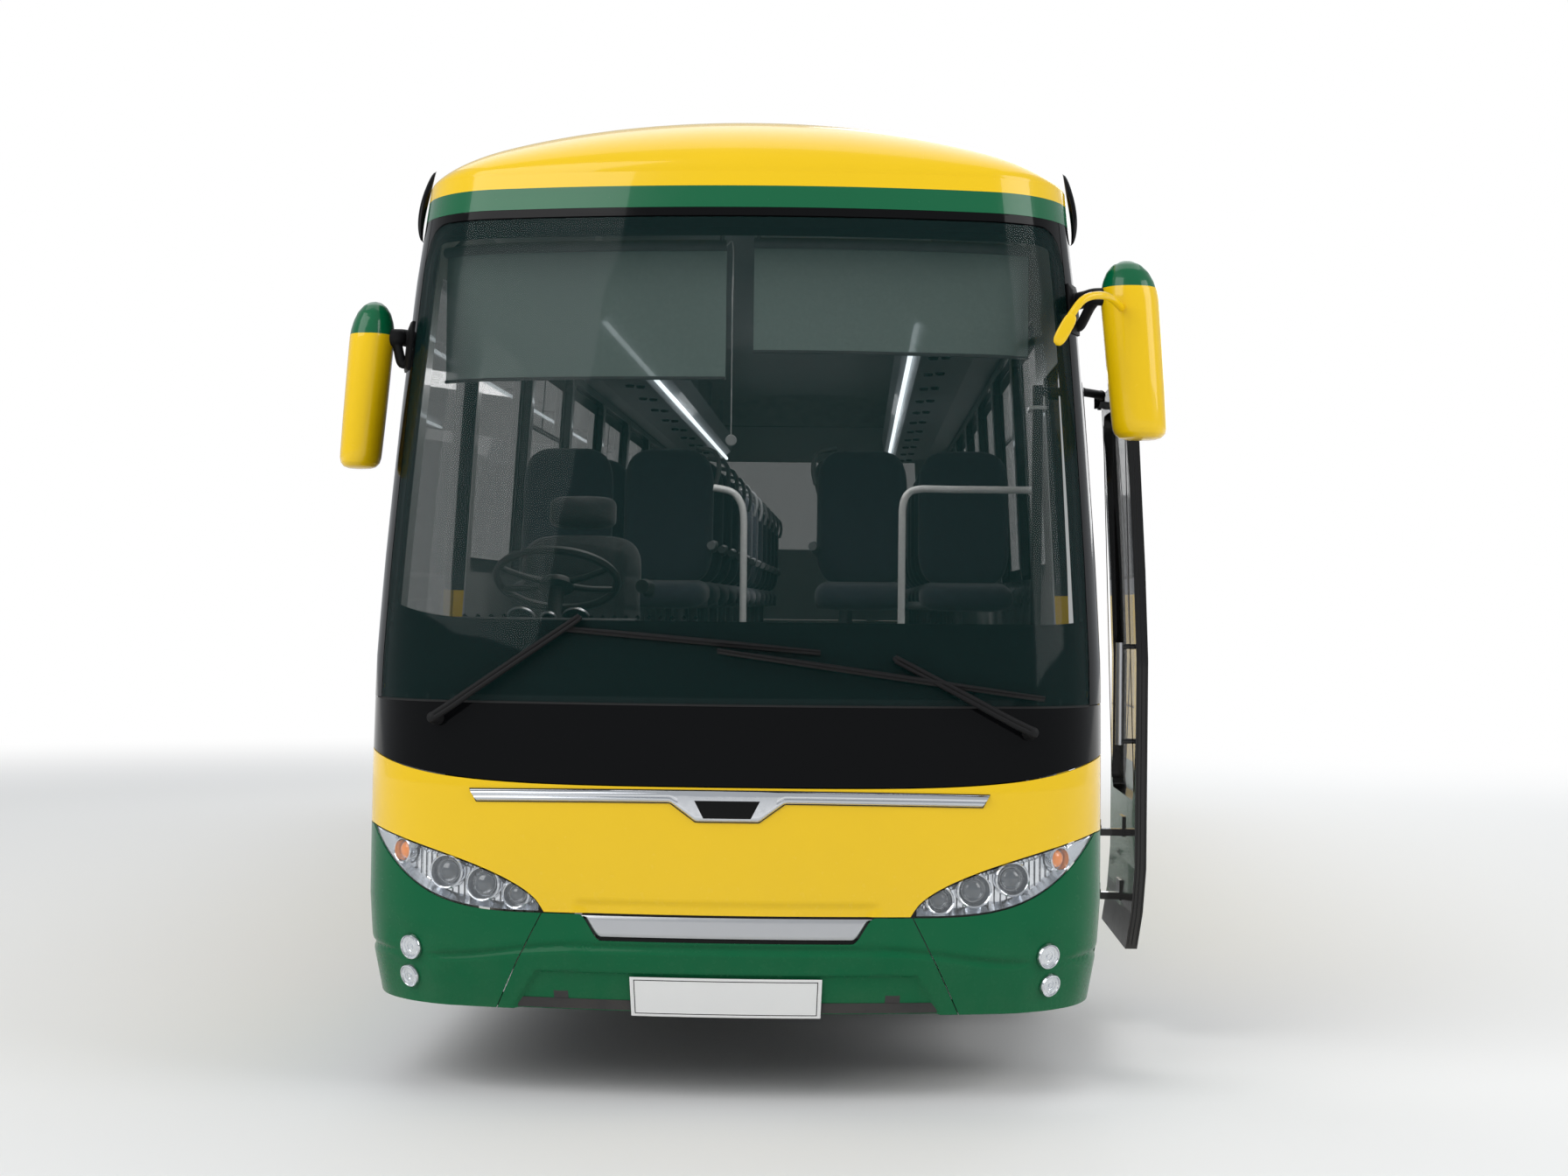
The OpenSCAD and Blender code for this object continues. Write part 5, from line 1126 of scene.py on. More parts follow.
# Corner fins. A black moulding on each upper corner, from the gutter's end down the pillar,
# that throws rain clear of the mirrors.
for side, word in SIDES:
    s0 = REACH - 0.050
    v = np.linspace(0, 1, 30)[None, :]
    u = turns(24)[:, None]
    z = mix(2.965, 3.255, v)
    girth = np.sin(np.pi * v) ** 0.5
    off = 0.022 * girth * (1 + 0.2 * np.cos(np.pi * v)) + 0.014 * girth * np.cos(u)
    shape = skin(FRONT, side * (s0 + 0.020 * girth * np.sin(u) + 0.05 * (v - 0.5)), z, off)
    add_joined("corner_fin_" + word, [closed(shape)], black_enamel, "gloss_black")

# Wipers. Two black pantograph arms on geared pivots at the mask; each carries a long blade of
# pressed bows and a rubber lip that lies along the glass.

# Arms and blades, each row [x and z of the arm's pivot and of its blade end, x and z of the
# blade's two ends and its lift off the glass]
WIPERS = (((-0.985, 1.262, -0.505, 1.600), (-0.560, 1.570, 0.300, 1.500, 0.012)),
          ((0.995, 1.235, 0.545, 1.475), (-0.040, 1.500, 1.035, 1.350, 0.031)))
arm_parts, rubber_parts = [], []
for (x0, z0, x1, z1), (bx0, bz0, bx1, bz1, lift) in WIPERS:
    foot, out = on_front(x0, z0)
    arm_parts.append(lathe([(0.0, 0.0002), (0.0235, 0.0002), (0.0235, 0.020), (0.019, 0.030),
                            (0.019, 0.044), (0.015, 0.052), (0.006, 0.0555), (0.0, 0.0555)],
                           foot, out, 32))
    t = np.linspace(0, 1, 9)
    for shift in (-0.0075, 0.0075):
        line = [on_front(mix(x0, x1, k), mix(z0, z1, k) + shift, mix(0.044, 0.030, k))[0]
                for k in t]
        arm_parts.append(tube(line, mix(0.0105, 0.0070, t), 12, 1))
    arm_parts.append(tube([on_front(x1, z1, 0.034)[0], on_front(x1, z1, lift + 0.004)[0]],
                          0.009, 14, 1))
    t = np.linspace(0, 1, 29)
    wave = 0.0016 * np.abs(np.sin(4 * np.pi * t))
    spine = [on_front(mix(bx0, bx1, k), mix(bz0, bz1, k), lift + 0.0035 + w)[0]
             for k, w in zip(t, wave)]
    arm_parts.append(tube(spine, 0.0078 * np.sin(np.pi * np.clip(t, 0.08, 0.92)) ** 0.4, 10, 1))
    lip = [on_front(mix(bx0, bx1, k), mix(bz0, bz1, k) - 0.006, lift - 0.0030)[0] for k in t]
    rubber_parts.append(tube(lip, 0.0075, 8, 1))
    for k in np.linspace(0.06, 0.94, 8):
        a, b = (on_front(mix(bx0, bx1, k), mix(bz0, bz1, k), lift + d)[0] for d in (-0.004, 0.005))
        arm_parts.append(tube([a, b], 0.0045, 8, 1))
add_joined("wiper_arms", arm_parts, moulded_black, "black_plastic")
add_joined("wiper_lips", rubber_parts, rubber, "black_plastic")
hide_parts("wipers")

# Entry door. A black-framed plug door that stands open, parallel to the side, on its arms: a
# glass pane bonded in the frame, a rubber finger seal all round and a steel grab rail inside.
door_enamel = finish("door_enamel", BLACK, LIFE, dict(GLOSS, Roughness=0.10, Dust=0.3), ENAMEL)
dress(door_enamel, "door_leaf")
dress(painted("door_tint", (0.008, 0.012, 0.013), (0.01, 0.0, 0.0, 0.0),
              {"Alpha": 0.72, "Specular IOR Level": 0.35}), "door_glass")
dress(moulded_black, "door_arm")
DOOR_Y0, DOOR_Y1, DOOR_OUT = -5.18 + 0.61, -4.33 + 0.61, 0.28
u = np.linspace(0, 1, 40)
edge_seal = []
for y, way in ((DOOR_Y0, 1), (DOOR_Y1, -1)):
    for off, radius in ((0.007, 0.0062), (0.024, 0.0062), (0.038, 0.0050)):
        z = mix(0.345, 2.545, u)
        line = xyz(half_at(z) + DOOR_OUT - off, y + way * radius * 0.9, z)
        edge_seal.append(tube(line, radius, 10, 1))
for z in (0.3365, 2.5535):
    y = mix(DOOR_Y0 + 0.01, DOOR_Y1 - 0.01, u)
    line = xyz(half_at(z) + DOOR_OUT - 0.022, y, z)
    edge_seal.append(tube(line, 0.0062, 10, 1))
add_joined("door_seals", edge_seal, rubber, "black_plastic", "door")


def leaf_frame(y0, y1, z0, z1, radius, width, outer, inner):
    """A frame on the open door's skin between two depths."""
    points, faces = side_frame(y0, y1, z0, z1, radius, width, outer, inner, 1)
    return points + (DOOR_OUT, 0, 0), faces


add_joined("door_border", [leaf_frame(DOOR_Y0 + 0.0635, DOOR_Y1 - 0.0635, 0.902, 2.4635, 0.050,
                                      0.022, 0.001, 0.0095)], frit_black, "gloss_black", "door")
add_joined("door_inner_trim", [
    leaf_frame(DOOR_Y0 + 0.030, DOOR_Y1 - 0.030, 0.870, 2.495, 0.060, 0.030, 0.0455, 0.0458),
], moulded_black, "bright_trim", "door")
grab = [(1.275 - 0.046 - 0.060 + DOOR_OUT, DOOR_Y0 + 0.045, z) for z in (1.12, 1.25, 1.38, 1.52)]
add_joined("door_grab_grip", [tube(grab, 0.0152, 18, 2)], satin, "bright_trim", "door")

# Doorway. Three ribs in yellow along the nosing of each step, so that the steps show from
# outside through the open door.
nosings = []
for z, x in ((0.420, 1.18), (0.600, 0.95), (0.780, 0.73)):
    for k in range(3):
        y = np.linspace(-5.185, -4.285, 12)
        line = xyz(x - 0.012 - 0.010 * k, y, z + 0.0012)
        nosings.append(tube(line, 0.0032, 8, 1))
add_joined("step_nosings", nosings, yellow_enamel, "front_paint")

# Floors and steel. Grey vinyl inside; dusty satin black steel and cast iron below; the white
# cooling unit on the roof, whose three fans have wire guards.
vinyl = moulded("floor_vinyl", (0.085, 0.088, 0.092), (0.55, 300.0, 0.35))
steel_black = painted("chassis_black", (0.030, 0.030, 0.032), (0.55, 0.25, 0.3),
                      {"Specular IOR Level": 0.2})
iron = moulded("cast_iron", (0.085, 0.080, 0.076), (0.6, 500.0, 0.5), {"Metallic": 0.6})
dress(vinyl, "floor")
dress(steel_black, "chassis", "luggage_tub", "front_frame")
dress(iron, "axle_front", "axle_rear", "knuckle_left", "knuckle_right", "engine")
dress(painted("unit_white", (0.70, 0.71, 0.71), (0.35, 0.3, 0.05), {"Coat Weight": 0.5}),
      "roof_unit")
FANS, FAN_RADIUS, FAN_Z = (-0.80, -0.05, 0.70), 0.268, 3.600
guards = []
for y in FANS:
    for radius in (0.06, 0.12, 0.18, 0.24, FAN_RADIUS):
        a = np.linspace(0, 2 * np.pi, 49)
        guards.append(tube(xyz(radius * np.cos(a), y + radius * np.sin(a), FAN_Z + 0.003), 0.0035,
                           6, 1))
    for a in np.arange(0, np.pi, np.pi / 4):
        spoke = FAN_RADIUS * np.array((math.cos(a), math.sin(a), 0))
        guards.append(tube([(0, y, FAN_Z) - spoke, (0, y, FAN_Z) + spoke], 0.0035, 6, 1))
add_joined("fan_guards", guards, moulded_black, "black_plastic")

# Wheels. Pressed silver disc wheels with ten hand holes and ten nuts; coach tyres with four
# circumferential grooves, ribbed shoulders and stepped sidewalls.
wheel_silver = painted("wheel_silver", (0.55, 0.56, 0.57), (0.32, 0.8, 0.1), {"Metallic": 0.75})
tyre_rubber = finish("tyre_rubber", (0.020, 0.020, 0.021), LIFE,
                     {"Roughness": 0.75, "Dust": 0.9, "Peel": 0.4, "Reach": 1.25}, {})
WHEEL_Z = 0.522
NUTS, NUT_RADIUS = 10, 0.1375
# Wheels, each row [word, body, tyre node, rim node, x of each tyre, y, side]
WHEELS = (("fl", "wheel_fl", "tyre_fl", "rim_fl", (1.030,), -3.15, 1),
          ("fr", "wheel_fr", "tyre_fr", "rim_fr", (-1.030,), -3.15, -1),
          ("rl", "wheel_rl", "tyres_rl", "rims_rl", (1.080, 0.750), 2.95, 1),
          ("rr", "wheel_rr", "tyres_rr", "rims_rr", (-1.080, -0.750), 2.95, -1))
# Tyre's section from bead to shoulder, each row [radius, distance from the middle]
HALF_LINE = np.array([[0.2866, -0.092], [0.3005, -0.1090], [0.316, -0.1248], [0.330, -0.1320],
                      [0.345, -0.1362], [0.352, -0.1360], [0.3535, -0.1385], [0.376, -0.1428],
                      [0.400, -0.1440], [0.4015, -0.1425], [0.430, -0.1442], [0.4585, -0.1412],
                      [0.4720, -0.1388], [0.4735, -0.1360], [0.490, -0.1300], [0.5050, -0.1225],
                      [0.5160, -0.1130], [0.5205, -0.1010]])
GROOVES = (-0.066, -0.022, 0.022, 0.066)
TREAD_R, SLOTS = 0.5219, 60
TREAD = np.sort([c + d for c in GROOVES for d in (-0.0058, -0.0036, 0.0036, 0.0058)]
                + [-0.0995, -0.091, -0.082, -0.044, 0.0, 0.044, 0.082, 0.091, 0.0995])
line_r = np.concatenate([HALF_LINE[:, 0], np.full(len(TREAD), TREAD_R), HALF_LINE[::-1, 0]])
line_w = np.concatenate([HALF_LINE[:, 1], TREAD, -HALF_LINE[::-1, 1]])
theta = ((np.arange(SLOTS)[:, None] + np.array([0.0, 0.09, 0.19, 0.28]))
         * 2 * np.pi / SLOTS).reshape(-1, 1)


def tread_depth(theta, w):
    """Depth of the pattern: four round grooves, and 60 slots across the ribs' edges."""
    groove = np.max([np.clip((0.0058 - np.abs(w - c)) / 0.0022, 0, 1) for c in GROOVES], axis=0)
    turn = (theta * SLOTS / 2 / np.pi) % 1.0
    open_at = (turn > 0.05) & (turn < 0.23)
    slot = open_at * (np.abs(w) > 0.079) * (np.abs(w) < 0.1035)
    sipe = open_at * (np.abs(np.abs(w) - 0.033) < 0.0055)
    return 0.013 * np.maximum(groove, np.maximum(0.55 * slot, 0.3 * sipe))


for word, body, tyre_node, rim_node, places, y, side in WHEELS:
    dress(wheel_silver, rim_node)
    radius = line_r[None, :] - tread_depth(theta, line_w[None, :])
    shapes, nuts = [], []
    for x in places:
        shapes.append(closed(xyz(x + line_w, y + radius * np.cos(theta),
                                 WHEEL_Z + radius * np.sin(theta))))
    piece = add_joined("tyre_" + word, shapes, tyre_rubber, "tyre", body, 50)
    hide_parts(tyre_node)
    face = side * (1.030 + 0.0202) if word[0] == "f" else side * (1.080 - 0.0058)
    for k in range(NUTS):
        a = 2 * math.pi * (k + 0.5) / NUTS
        at = (face, y + NUT_RADIUS * math.cos(a), WHEEL_Z + NUT_RADIUS * math.sin(a))
        nuts.append(lathe([(0.0, 0.0), (0.0185, 0.0), (0.0185, 0.004), (0.0155, 0.006),
                           (0.0155, 0.022), (0.0125, 0.026), (0.0085, 0.030), (0.0, 0.030)],
                          at, (side, 0, 0), 6))
    add_joined("wheel_nuts_" + word, nuts, satin, "bright_trim", body, 30)
    if word[0] == "f":
        hub = lathe([(0.0, 0.1120), (0.040, 0.1115), (0.062, 0.108), (0.078, 0.100),
                     (0.084, 0.0958), (0.1010, 0.0955), (0.1016, 0.085), (0.1016, 0.060),
                     (0.107, 0.050), (0.107, 0.0202), (0.0, 0.0202)],
                    (side * 1.030, y, WHEEL_Z), (side, 0, 0))
    else:
        hub = lathe([(0.0, 0.056), (0.060, 0.056), (0.070, 0.050), (0.072, 0.030), (0.102, 0.026),
                     (0.112, 0.018), (0.114, -0.0058), (0.0, -0.0058)],
                    (side * 1.080, y, WHEEL_Z), (side, 0, 0))
    add_joined("hub_cap_" + word, [hub], satin, "bright_trim", body)

# Dashboard. Black moulded plastic across the cab: a hooded binnacle with two dials and a small
# one between them, rows of rocker keys, and air vents along the top by the glass.
dash_grain = moulded("dash_grain", (0.030, 0.030, 0.032), (0.6, 900.0, 0.4))
dress(dash_grain, "dashboard")
dials, faces_dark = [], []
slope = np.array([0.0, 0.707, 0.707])
for x, radius in ((-0.80, 0.052), (-0.60, 0.052), (-0.70, 0.030)):
    at = np.array([x, -5.2335, 1.5945])
    dials.append(lathe([(radius - 0.006, 0.0), (radius, 0.0), (radius, 0.010),
                        (radius - 0.006, 0.010), (radius - 0.006, 0.0)], at, slope, 40))
    faces_dark.append(lathe([(0.0, 0.0045), (radius - 0.004, 0.0045), (radius - 0.004, 0.0),
                             (0.0, 0.0)], at, slope, 32))
for k in range(14):
    x = -1.00 + 0.048 * k if k < 4 else -0.54 + 0.042 * (k - 4)
    faces_dark.append(tube([(x, -5.250, 1.6015), (x, -5.272, 1.6030)], 0.009, 4, 1))
add_joined("dial_rings", dials, satin, "bright_trim")
add_joined("dial_faces", faces_dark, black_enamel, "gloss_black")
vents = []
for k in range(26):
    x = -0.98 + 0.0784 * k
    for y in (-5.56, -5.545):
        vents.append(tube([(x - 0.026, y, 1.5715), (x + 0.026, y, 1.5715)], 0.0035, 6, 1))
add_joined("demist_vents", vents, moulded_black, "dash_grain")

# Steering wheel. A leather-wrapped rim with finger ridges on four spokes and a domed boss, at
# right angles to the tilted column.
leather = moulded("rim_leather", (0.022, 0.021, 0.020), (0.42, 700.0, 0.6))
HAND = np.array([-0.70, -5.01, 1.74])
tilt = math.radians(28.0)
HAND_X, HAND_Z = np.array([1.0, 0.0, 0.0]), np.array([0.0, math.sin(tilt), math.cos(tilt)])
HAND_Y = np.cross(HAND_Z, HAND_X)
a = turns(96)[:, None, None]
b = np.linspace(0, 2 * np.pi, 19)[None, :, None]
swell = 0.0150 + 0.0008 * np.cos(12 * b)
rim = HAND + (0.225 + swell * np.cos(b)) * (np.cos(a) * HAND_X + np.sin(a) * HAND_Y) \
    + swell * np.sin(b) * HAND_Z
wheel_parts = [closed(rim),
               lathe([(0.0, 0.004), (0.030, 0.002), (0.055, -0.006), (0.066, -0.020),
                      (0.066, -0.034), (0.030, -0.040), (0.026, -0.150), (0.0, -0.150)],
                     HAND, HAND_Z, 40)]
for degrees in (18, 162, 205, 335):
    d = math.cos(math.radians(degrees)) * HAND_X + math.sin(math.radians(degrees)) * HAND_Y
    wheel_parts.append(tube([HAND + 0.045 * d - 0.020 * HAND_Z, HAND + 0.13 * d - 0.018 * HAND_Z,
                             HAND + 0.224 * d - 0.003 * HAND_Z], [0.016, *[0.0125] * 11, 0.011],
                            12, 6))
piece = add_joined("hand_wheel_rim", wheel_parts, leather, "dash_grain", "hand_wheel")
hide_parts("steering_wheel")


# Driver's seat. A black air-sprung seat: bolstered cushion and high back with a headrest, in
# ribbed cloth that swells between its seams, on a pedestal inside a rubber bellows.
def pad(frame_at, half_w, thick, channels, rows, around, bolster):
    """A closed crowned pad: rings of a rounded slab, drawn in to a soft edge at both ends.

    Along v the slab follows frame_at(v) -> middle point, thickness direction; across, a ring is
    half_w * power(cos), thick * power(sin), with small exponents so the edges stay full. Each
    channel is a sewn groove, [which way it runs, its place, its depth].
    """
    t = np.linspace(-1, 1, rows)
    v = np.sin(t * np.pi / 2)[:, None]
    a = turns(around)[None, :]
    end = np.sqrt(np.clip(1 - np.abs(v) ** 5, 0, 1)) ** 0.8
    c, s = np.cos(a), np.sin(a)
    across, out = power(c, 0.30), power(s, 0.55)
    pinch = 1 - 0.035 * (1 - np.abs(v) ** 2)
    x = half_w * pinch * across * (0.25 + 0.75 * end)
    depth = thick * out * end * (1 - 0.30 * np.abs(across) ** 4)
    front = np.clip(out, 0, 1)
    depth = depth + bolster * front * end * np.exp(-((np.abs(x / half_w) - 0.80) / 0.16) ** 2)
    for kind, at, deep in channels:
        line = (np.abs(x) - at) / 0.010 if kind == "along" else (v - at) / 0.022
        depth = depth - deep * front * np.exp(-line ** 2)
    middle, normal = frame_at(v)
    place = middle + depth[..., None] * normal
    place[..., 0] += x
    order = np.arange(rows * around)
    grid = order.reshape(rows, around).T.ravel()
    faces = [tuple(grid[f]) for f in grid_faces(around, rows, 0, True)]
    faces += [tuple(order[:around]), tuple(order[:-around - 1:-1])]
    return place.reshape(-1, 3), faces


def spine(y0, z0, y1, z1, bow=0.0):
    """A straight run in y and z with a slight bow; its second value points forwards and up."""
    d = np.array([y1 - y0, z1 - z0]) / 2
    long = np.linalg.norm(d)
    across = np.array([0.0, -d[1], d[0]]) / long

    def at(v):
        middle = np.stack([0 * v, mix(y0, y1, (v + 1) / 2), mix(z0, z1, (v + 1) / 2)], -1)
        return middle - bow * (1 - v[..., None] ** 2) * across, across
    return at


seat_black = finish("driver_cloth", (0.016, 0.016, 0.018), WEAVE,
                    {"Second": (0.030, 0.030, 0.034, 1), "Scale": 230.0},
                    {"Roughness": 0.85, "Sheen Weight": 0.3})
AT = np.array([-0.70, -4.75, 0.97])
driver_pads = (
    ("driver_cushion", spine(0.010, 0.425, 0.440, 0.455, 0.0), 0.255, 0.062, 0.020,
     (("along", 0.155, 0.012), ("across", -0.35, 0.006), ("across", 0.25, 0.006))),
    ("driver_back", spine(0.452, 0.470, 0.512, 0.965, 0.010), 0.255, 0.058, 0.026,
     (("along", 0.150, 0.014), ("across", -0.30, 0.007), ("across", 0.30, 0.007))),
    ("driver_headrest", spine(0.520, 0.985, 0.545, 1.115, 0.0), 0.140, 0.050, 0.006, ()),
)


VOXEL, PRESSURE, LAST_FRAME = 0.009, 4.0, 12


def swollen(name, points, faces, material, slot, cap):
    """Cloth simulation with pressure on a remeshed pad; each point moves cap metres at most."""
    piece = add_mesh(name, points, faces, material, slot)
    bpy.context.view_layer.objects.active = piece
    remesh = piece.modifiers.new("remesh", "REMESH")
    remesh.mode, remesh.voxel_size = "VOXEL", VOXEL
    with bpy.context.temp_override(object=piece, active_object=piece):
        bpy.ops.object.modifier_apply(modifier="remesh")
    start = np.empty(len(piece.data.vertices) * 3)
    piece.data.vertices.foreach_get("co", start)
    cloth = piece.modifiers.new("cloth", "CLOTH")
    cloth.settings.use_pressure = True
    cloth.settings.uniform_pressure_force = PRESSURE
    cloth.settings.quality = 4
    cloth.settings.effector_weights.gravity = 0.0
    for number in range(1, LAST_FRAME + 1):
        scene.frame_set(number)
    with bpy.context.temp_override(object=piece, active_object=piece):
        bpy.ops.object.modifier_apply(modifier="cloth")
    scene.frame_set(1)
    end = np.empty_like(start)
    piece.data.vertices.foreach_get("co", end)
    move = (end - start).reshape(-1, 3)
    far = np.linalg.norm(move, axis=1, keepdims=True)
    move *= np.minimum(1.0, cap / np.maximum(far, 1e-9))
    piece.data.vertices.foreach_set("co", (start.reshape(-1, 3) + move).ravel())
    piece.data.polygons.foreach_set("use_smooth", np.ones(len(piece.data.polygons), bool))
    piece.data.update()
    return piece


for name, at, half_w, thick, bolster, channels in driver_pads:
    points, faces = pad(at, half_w, thick, channels, 40, 72, bolster)
    piece = swollen(name, points + AT, faces, seat_black, "cab_fabric", 0.008)
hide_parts("driver_seat")
PEDESTAL = (-0.70, -4.51)
folds = np.where(np.arange(9) % 2, 0.178, 0.152)
turned = turns(48)[:, None]
shape = xyz(PEDESTAL[0] + folds * power(np.cos(turned), 0.4),
            PEDESTAL[1] + 0.72 * folds * power(np.sin(turned), 0.4), 0.965 + 0.046 * np.arange(9))
plates = [tube([(*PEDESTAL, low), (*PEDESTAL, top)], radius, 32, 1)
          for low, top, radius in ((0.951, 0.967, 0.19), (1.330, 1.362, 0.165))]
add_joined("driver_bellows", [closed(shape), *plates], rubber, "black_plastic", degrees=60)
arm = [(-0.42, -4.335, 1.70), (-0.415, -4.40, 1.72), (-0.415, -4.55, 1.725), (-0.415, -4.66, 1.72)]
add_joined("driver_armrest", [tube(arm, 0.026, 18, 6)], leather, "cab_fabric", degrees=60)

# Passenger seats. Twelve rows of doubles on each side: foam pads in ribbed blue-grey cloth on a
# steel leg, each with a stitched channel, a headrest roll and a grab handle by the aisle.
seat_cloth = finish("seat_cloth", (0.016, 0.023, 0.038), WEAVE,
                    {"Second": (0.024, 0.032, 0.050, 1), "Scale": 200.0},
                    {"Roughness": 0.85, "Sheen Weight": 0.3})
frame_grey = moulded("seat_frame", (0.16, 0.165, 0.17), (0.5, 800.0, 0.3))
SEAT_ROWS, SEAT_PITCH, SALOON_FLOOR = 12, 0.770, 1.250
ONE_SEAT = (pad(spine(0.012, 0.432, 0.420, 0.458), 0.210, 0.060,
                (("along", 0.120, 0.007), ("across", -0.2, 0.004)), 16, 26, 0.008),
            pad(spine(0.452, 0.490, 0.535, 1.105, 0.008), 0.210, 0.050,
                (("along", 0.120, 0.008), ("across", 0.62, 0.008)), 20, 26, 0.012))
# Frame tubes of a double seat, each row [radius, smoothing, points out, along and up]
SEAT_TUBES = (
    (0.020, 2, ((0.36, 0.14, 1.253), (0.36, 0.22, 1.44), (0.36, 0.22, 1.645))),
    (0.020, 2, ((0.86, 0.14, 1.253), (0.86, 0.22, 1.44), (0.86, 0.22, 1.645))),
    (0.018, 1, ((0.24, 0.22, 1.655), (1.10, 0.22, 1.655))),
    (0.011, 3, ((0.228, 0.548, 2.20), (0.214, 0.560, 2.27), (0.235, 0.575, 2.345),
                (0.32, 0.580, 2.365))),
    (0.019, 3, ((0.232, 0.46, 1.90), (0.222, 0.40, 1.92), (0.222, 0.16, 1.91))),
)
for side, word in SIDES:
    pads, legs = [], []
    for row in range(SEAT_ROWS):
        y = -3.69 + SEAT_PITCH * row
        pads += [(points + (side * x, y, SALOON_FLOOR), faces)
                 for x in (0.4375, 0.8945) for points, faces in ONE_SEAT]
        legs += [tube([(side * x, y + along, z) for x, along, z in line], radius, 8, smooth)
                 for radius, smooth, line in SEAT_TUBES]
    piece = add_joined("passenger_pads_" + word, pads, seat_cloth, "seat_fabric", degrees=60)
    add_joined("seat_frames_" + word, legs, frame_grey, "seat_fabric", degrees=60)
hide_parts("seats")

# Luggage racks. Grey moulded shelves along both sides with a bright strip of light in the edge
# of each, and small air outlets above every seat.
rack_grey = moulded("rack_grey", (0.45, 0.46, 0.47), (0.45, 700.0, 0.25))
strip_light = finish("strip_light", (0.9, 0.95, 0.95), None, {},
                     {"Roughness": 0.3, "Emission Color": (0.85, 0.95, 1.0, 1.0),
                      "Emission Strength": 3.0})
dress(rack_grey, "racks")
strips, outlets = [], []
RACK_BACK, RACK_ENDS = half_at(2.93) - 0.0603, (-3.82, 5.12)
for side in (1, -1):
    strips.append(tube([(side * (RACK_BACK - 0.468), y, 2.842) for y in RACK_ENDS], 0.012, 10, 1))
    for row in range(SEAT_ROWS):
        for x in (0.30, 0.36):
            y = -3.45 + SEAT_PITCH * row
            z = 2.9 + mix(-0.050, -0.070, (x - 0.16) / 0.26) - 0.001
            outlets.append(lathe([(0.0, 0.006), (0.016, 0.006), (0.022, 0.012), (0.026, 0.0),
                                  (0.0, 0.0)], (side * (RACK_BACK - x), y, z), (0, 0, -1), 16))
add_joined("rack_lights", strips, strip_light, "rack_plastic")
add_joined("air_outlets", outlets, moulded_black, "black_plastic")

# Handrails. Two posts of white coated steel tube on round foot plates: one by the cab, and one
# that bends across the doorway.
rail_white = painted("rail_white", (0.78, 0.78, 0.77), (0.25, 0.1, 0.1), {"Coat Weight": 0.6})
# Posts, each row [y, points of x and z from the floor up]
POSTS = ((-3.90, ((-0.06, 1.1003), (-0.06, 1.5), (-0.06, 1.9), (-0.062, 2.03), (-0.078, 2.09),
                  (-0.115, 2.128), (-0.19, 2.145))),
         (-4.20, ((0.60, 0.9503), (0.60, 1.5), (0.60, 1.95), (0.602, 2.06), (0.622, 2.11),
                  (0.67, 2.1302), (0.80, 2.130), (half_at(2.13) - 0.114, 2.130))))
rails = [tube([(x, y, z) for x, z in line], 0.0152, 18, 5) for y, line in POSTS]
flanges = [lathe([(0.0, 0.0), (0.034, 0.0), (0.034, 0.004), (0.019, 0.010), (0.0, 0.010)],
                 (line[0][0], y, line[0][1] + 0.0001), (0, 0, 1), 28)
           for y, line in reversed(POSTS)]
piece = add_joined("grab_rails", rails + flanges, rail_white, "rail_white")
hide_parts("handrails")

# Sun blinds. Grey-green translucent cloth drawn down from spring rolls under the screen's
# header, each with a stitched hem bar. One pull cord hangs between them.
blind_cloth = finish("blind_cloth", (0.700, 0.900, 0.820), WEAVE,
                     {"Second": (0.740, 0.940, 0.860, 1), "Scale": 320.0},
                     {"Roughness": 0.85, "Alpha": 0.88})
rolls = []
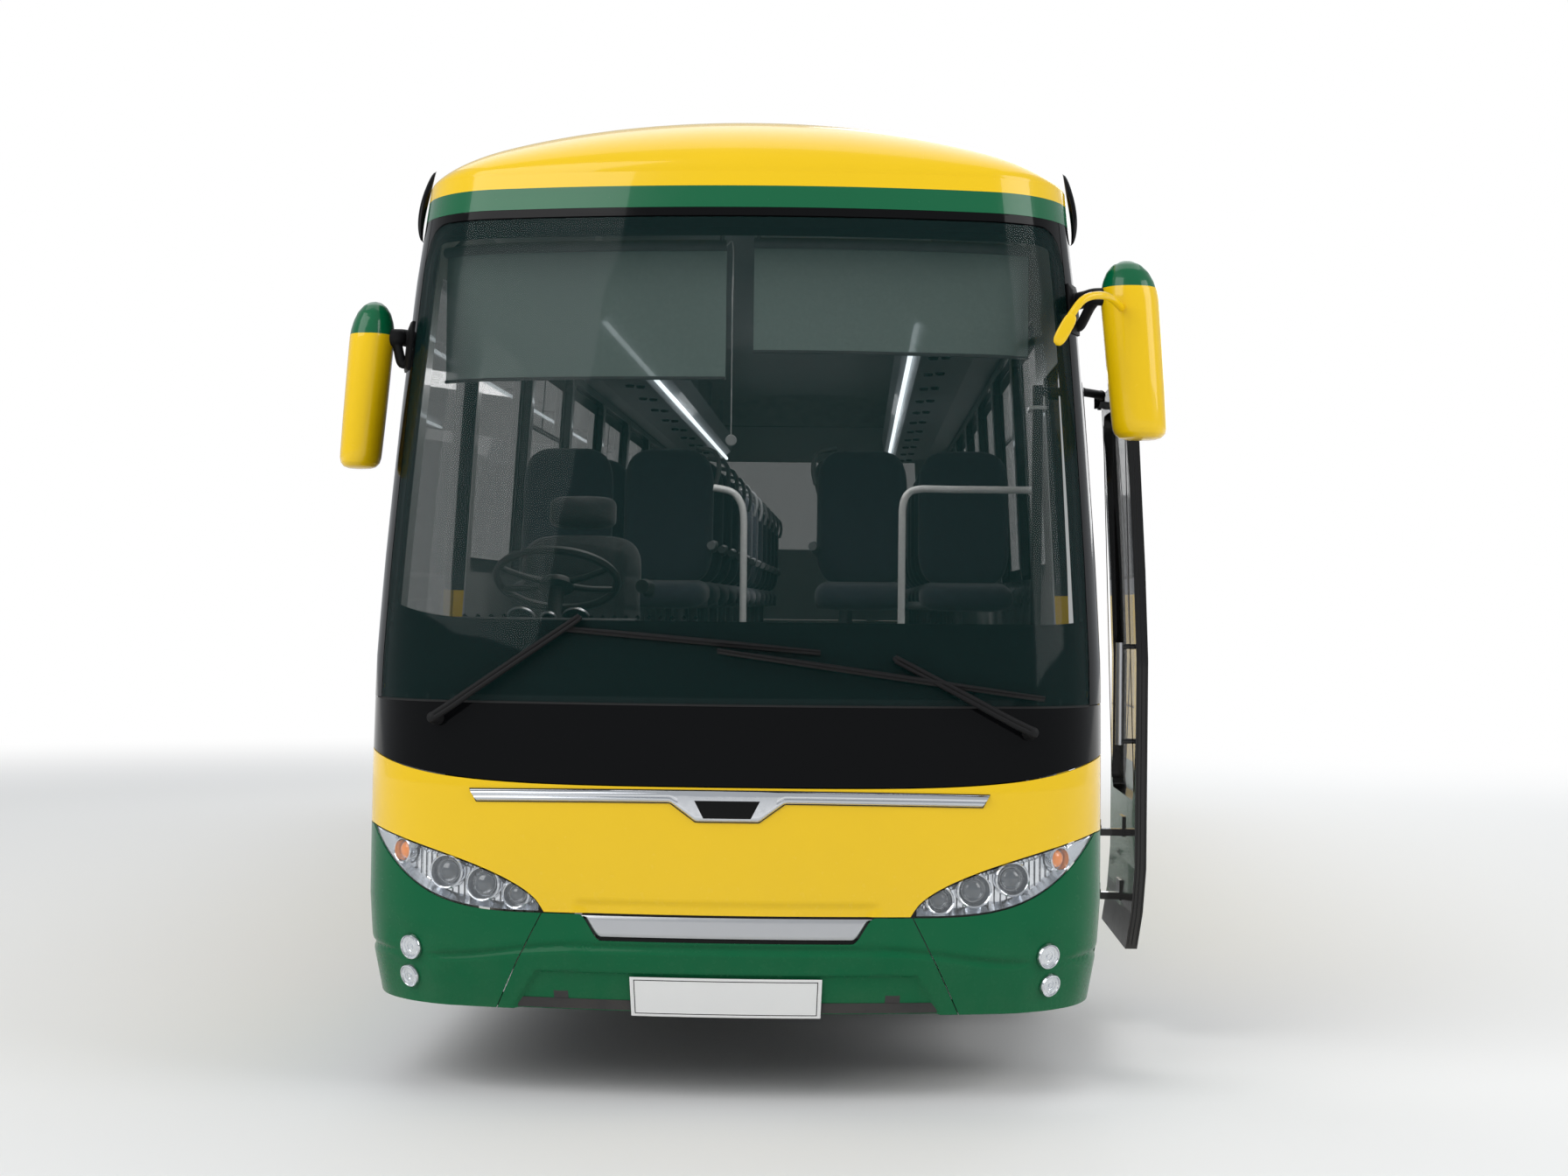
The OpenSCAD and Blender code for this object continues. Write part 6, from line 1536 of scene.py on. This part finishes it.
# Blinds, each row [word, x of both edges, lower and upper end]
BLINDS = (("left", -1.165, -0.042, 2.440, 2.935), ("right", 0.038, 1.105, 2.535, 2.945))
for k, (word, x0, x1, low, top) in enumerate(BLINDS):
    u, v = lattice(np.linspace(0, 1, 61), np.linspace(0, 1, 25))
    x = mix(x0 + 0.012, x1 - 0.012, u)
    z = mix(low + 0.012, top - 0.020, v)
    sway = 0.0032 * np.sin(9.0 * u + 2.0 * k) * (1 - v) + 0.0012 * np.sin(31 * u + 3 * v)
    face = skin(FRONT, s_at(FRONT, x.ravel()).reshape(x.shape), np.full_like(x, top - 0.020), 0.0)
    cloth = face + (0.0, 0.150, 0.0)
    cloth[..., 2] = z
    cloth[..., 1] += sway + 0.0222 * v ** 8
    wide = np.linalg.norm(np.diff(cloth[:, 12], axis=0), axis=1).sum()
    long = np.linalg.norm(np.diff(cloth[30], axis=0), axis=1).sum()
    piece = add_mesh("blind_" + word, cloth, grid_faces(61, 25), blind_cloth, "blind_cloth")
    if k == 0:
        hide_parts("blinds")
    line = cloth[::5, -1] - (0, 0.022, 0)
    rolls.append(tube(line, 0.0195, 16, 1))
    rolls.append(tube(cloth[::5, 0] - (0.0, 0.0, 0.004), 0.0065, 10, 1))
    for x in (x0 + 0.030, x1 - 0.030):
        head, back = (on_front(x, 3.000, proud)[0] for proud in (-0.0288, -0.110))
        foot = on_front(x, top - 0.020)[0] + (0, 0.150, 0)
        rolls.append(tube([head, back, foot], 0.0078, 10, 1))
    if k == 0:
        ring_end = cloth[-1, -1] + (0.022, -0.022, 0.0)
add_joined("blind_rolls", rolls, frame_grey, "blind_cloth")
CORD_DROP, CORD_RADIUS = 0.665, 0.0022
drop = ring_end - (0, 0, CORD_DROP)
add_joined("blind_pull", [
    tube([ring_end - (0.024, 0, 0), ring_end, ring_end - (0, 0, 0.2), ring_end - (0, 0, 0.45),
          drop], CORD_RADIUS, 8, 6),
    lathe([(0.0, -0.004), (0.017, -0.004), (0.020, 0.0), (0.017, 0.004), (0.0, 0.004)],
          drop - (0, 0, 0.019), np.array((0.0, -1.0, 0.0)), 24)], rail_white, "rail_white")

# The floor under the bus. A plain pale studio sweep, not part of the object, that is clear when
# it is seen from below.
FLOOR_HALF, FLOOR_Z = 60, -0.0005
pale = bpy.data.materials.new("studio_floor")
pale.use_nodes = True
tree = pale.node_tree
matte = tree.nodes["Principled BSDF"]
matte.inputs["Base Color"].default_value = (0.80, 0.80, 0.79, 1)
matte.inputs["Roughness"].default_value = 0.75
bright = node_in(tree, "ShaderNodeEmission", {"Strength": 1.0})
away = node_in(tree, "ShaderNodeVectorMath", {0: object_space(tree)}, operation="LENGTH")
far = ranged(tree, away.outputs["Value"], {"From Min": 7.5, "From Max": 15.0},
             interpolation_type="SMOOTHSTEP")
from_above = either(tree, node_in(tree, "ShaderNodeNewGeometry").outputs["Backfacing"],
                    either(tree, far, matte, bright), node_in(tree, "ShaderNodeBsdfTransparent"))
tree.links.new(from_above.outputs[0], tree.nodes["Material Output"].inputs["Surface"])
sweep = bpy.data.meshes.new("studio_floor")
sweep.from_pydata([(x * FLOOR_HALF, y * FLOOR_HALF, FLOOR_Z)
                   for x, y in ((-1, -1), (1, -1), (1, 1), (-1, 1))], [], [(0, 1, 2, 3)])
sweep.materials.append(pale)
studio_floor = bpy.data.objects.new("studio_floor", sweep)
scene.collection.objects.link(studio_floor)
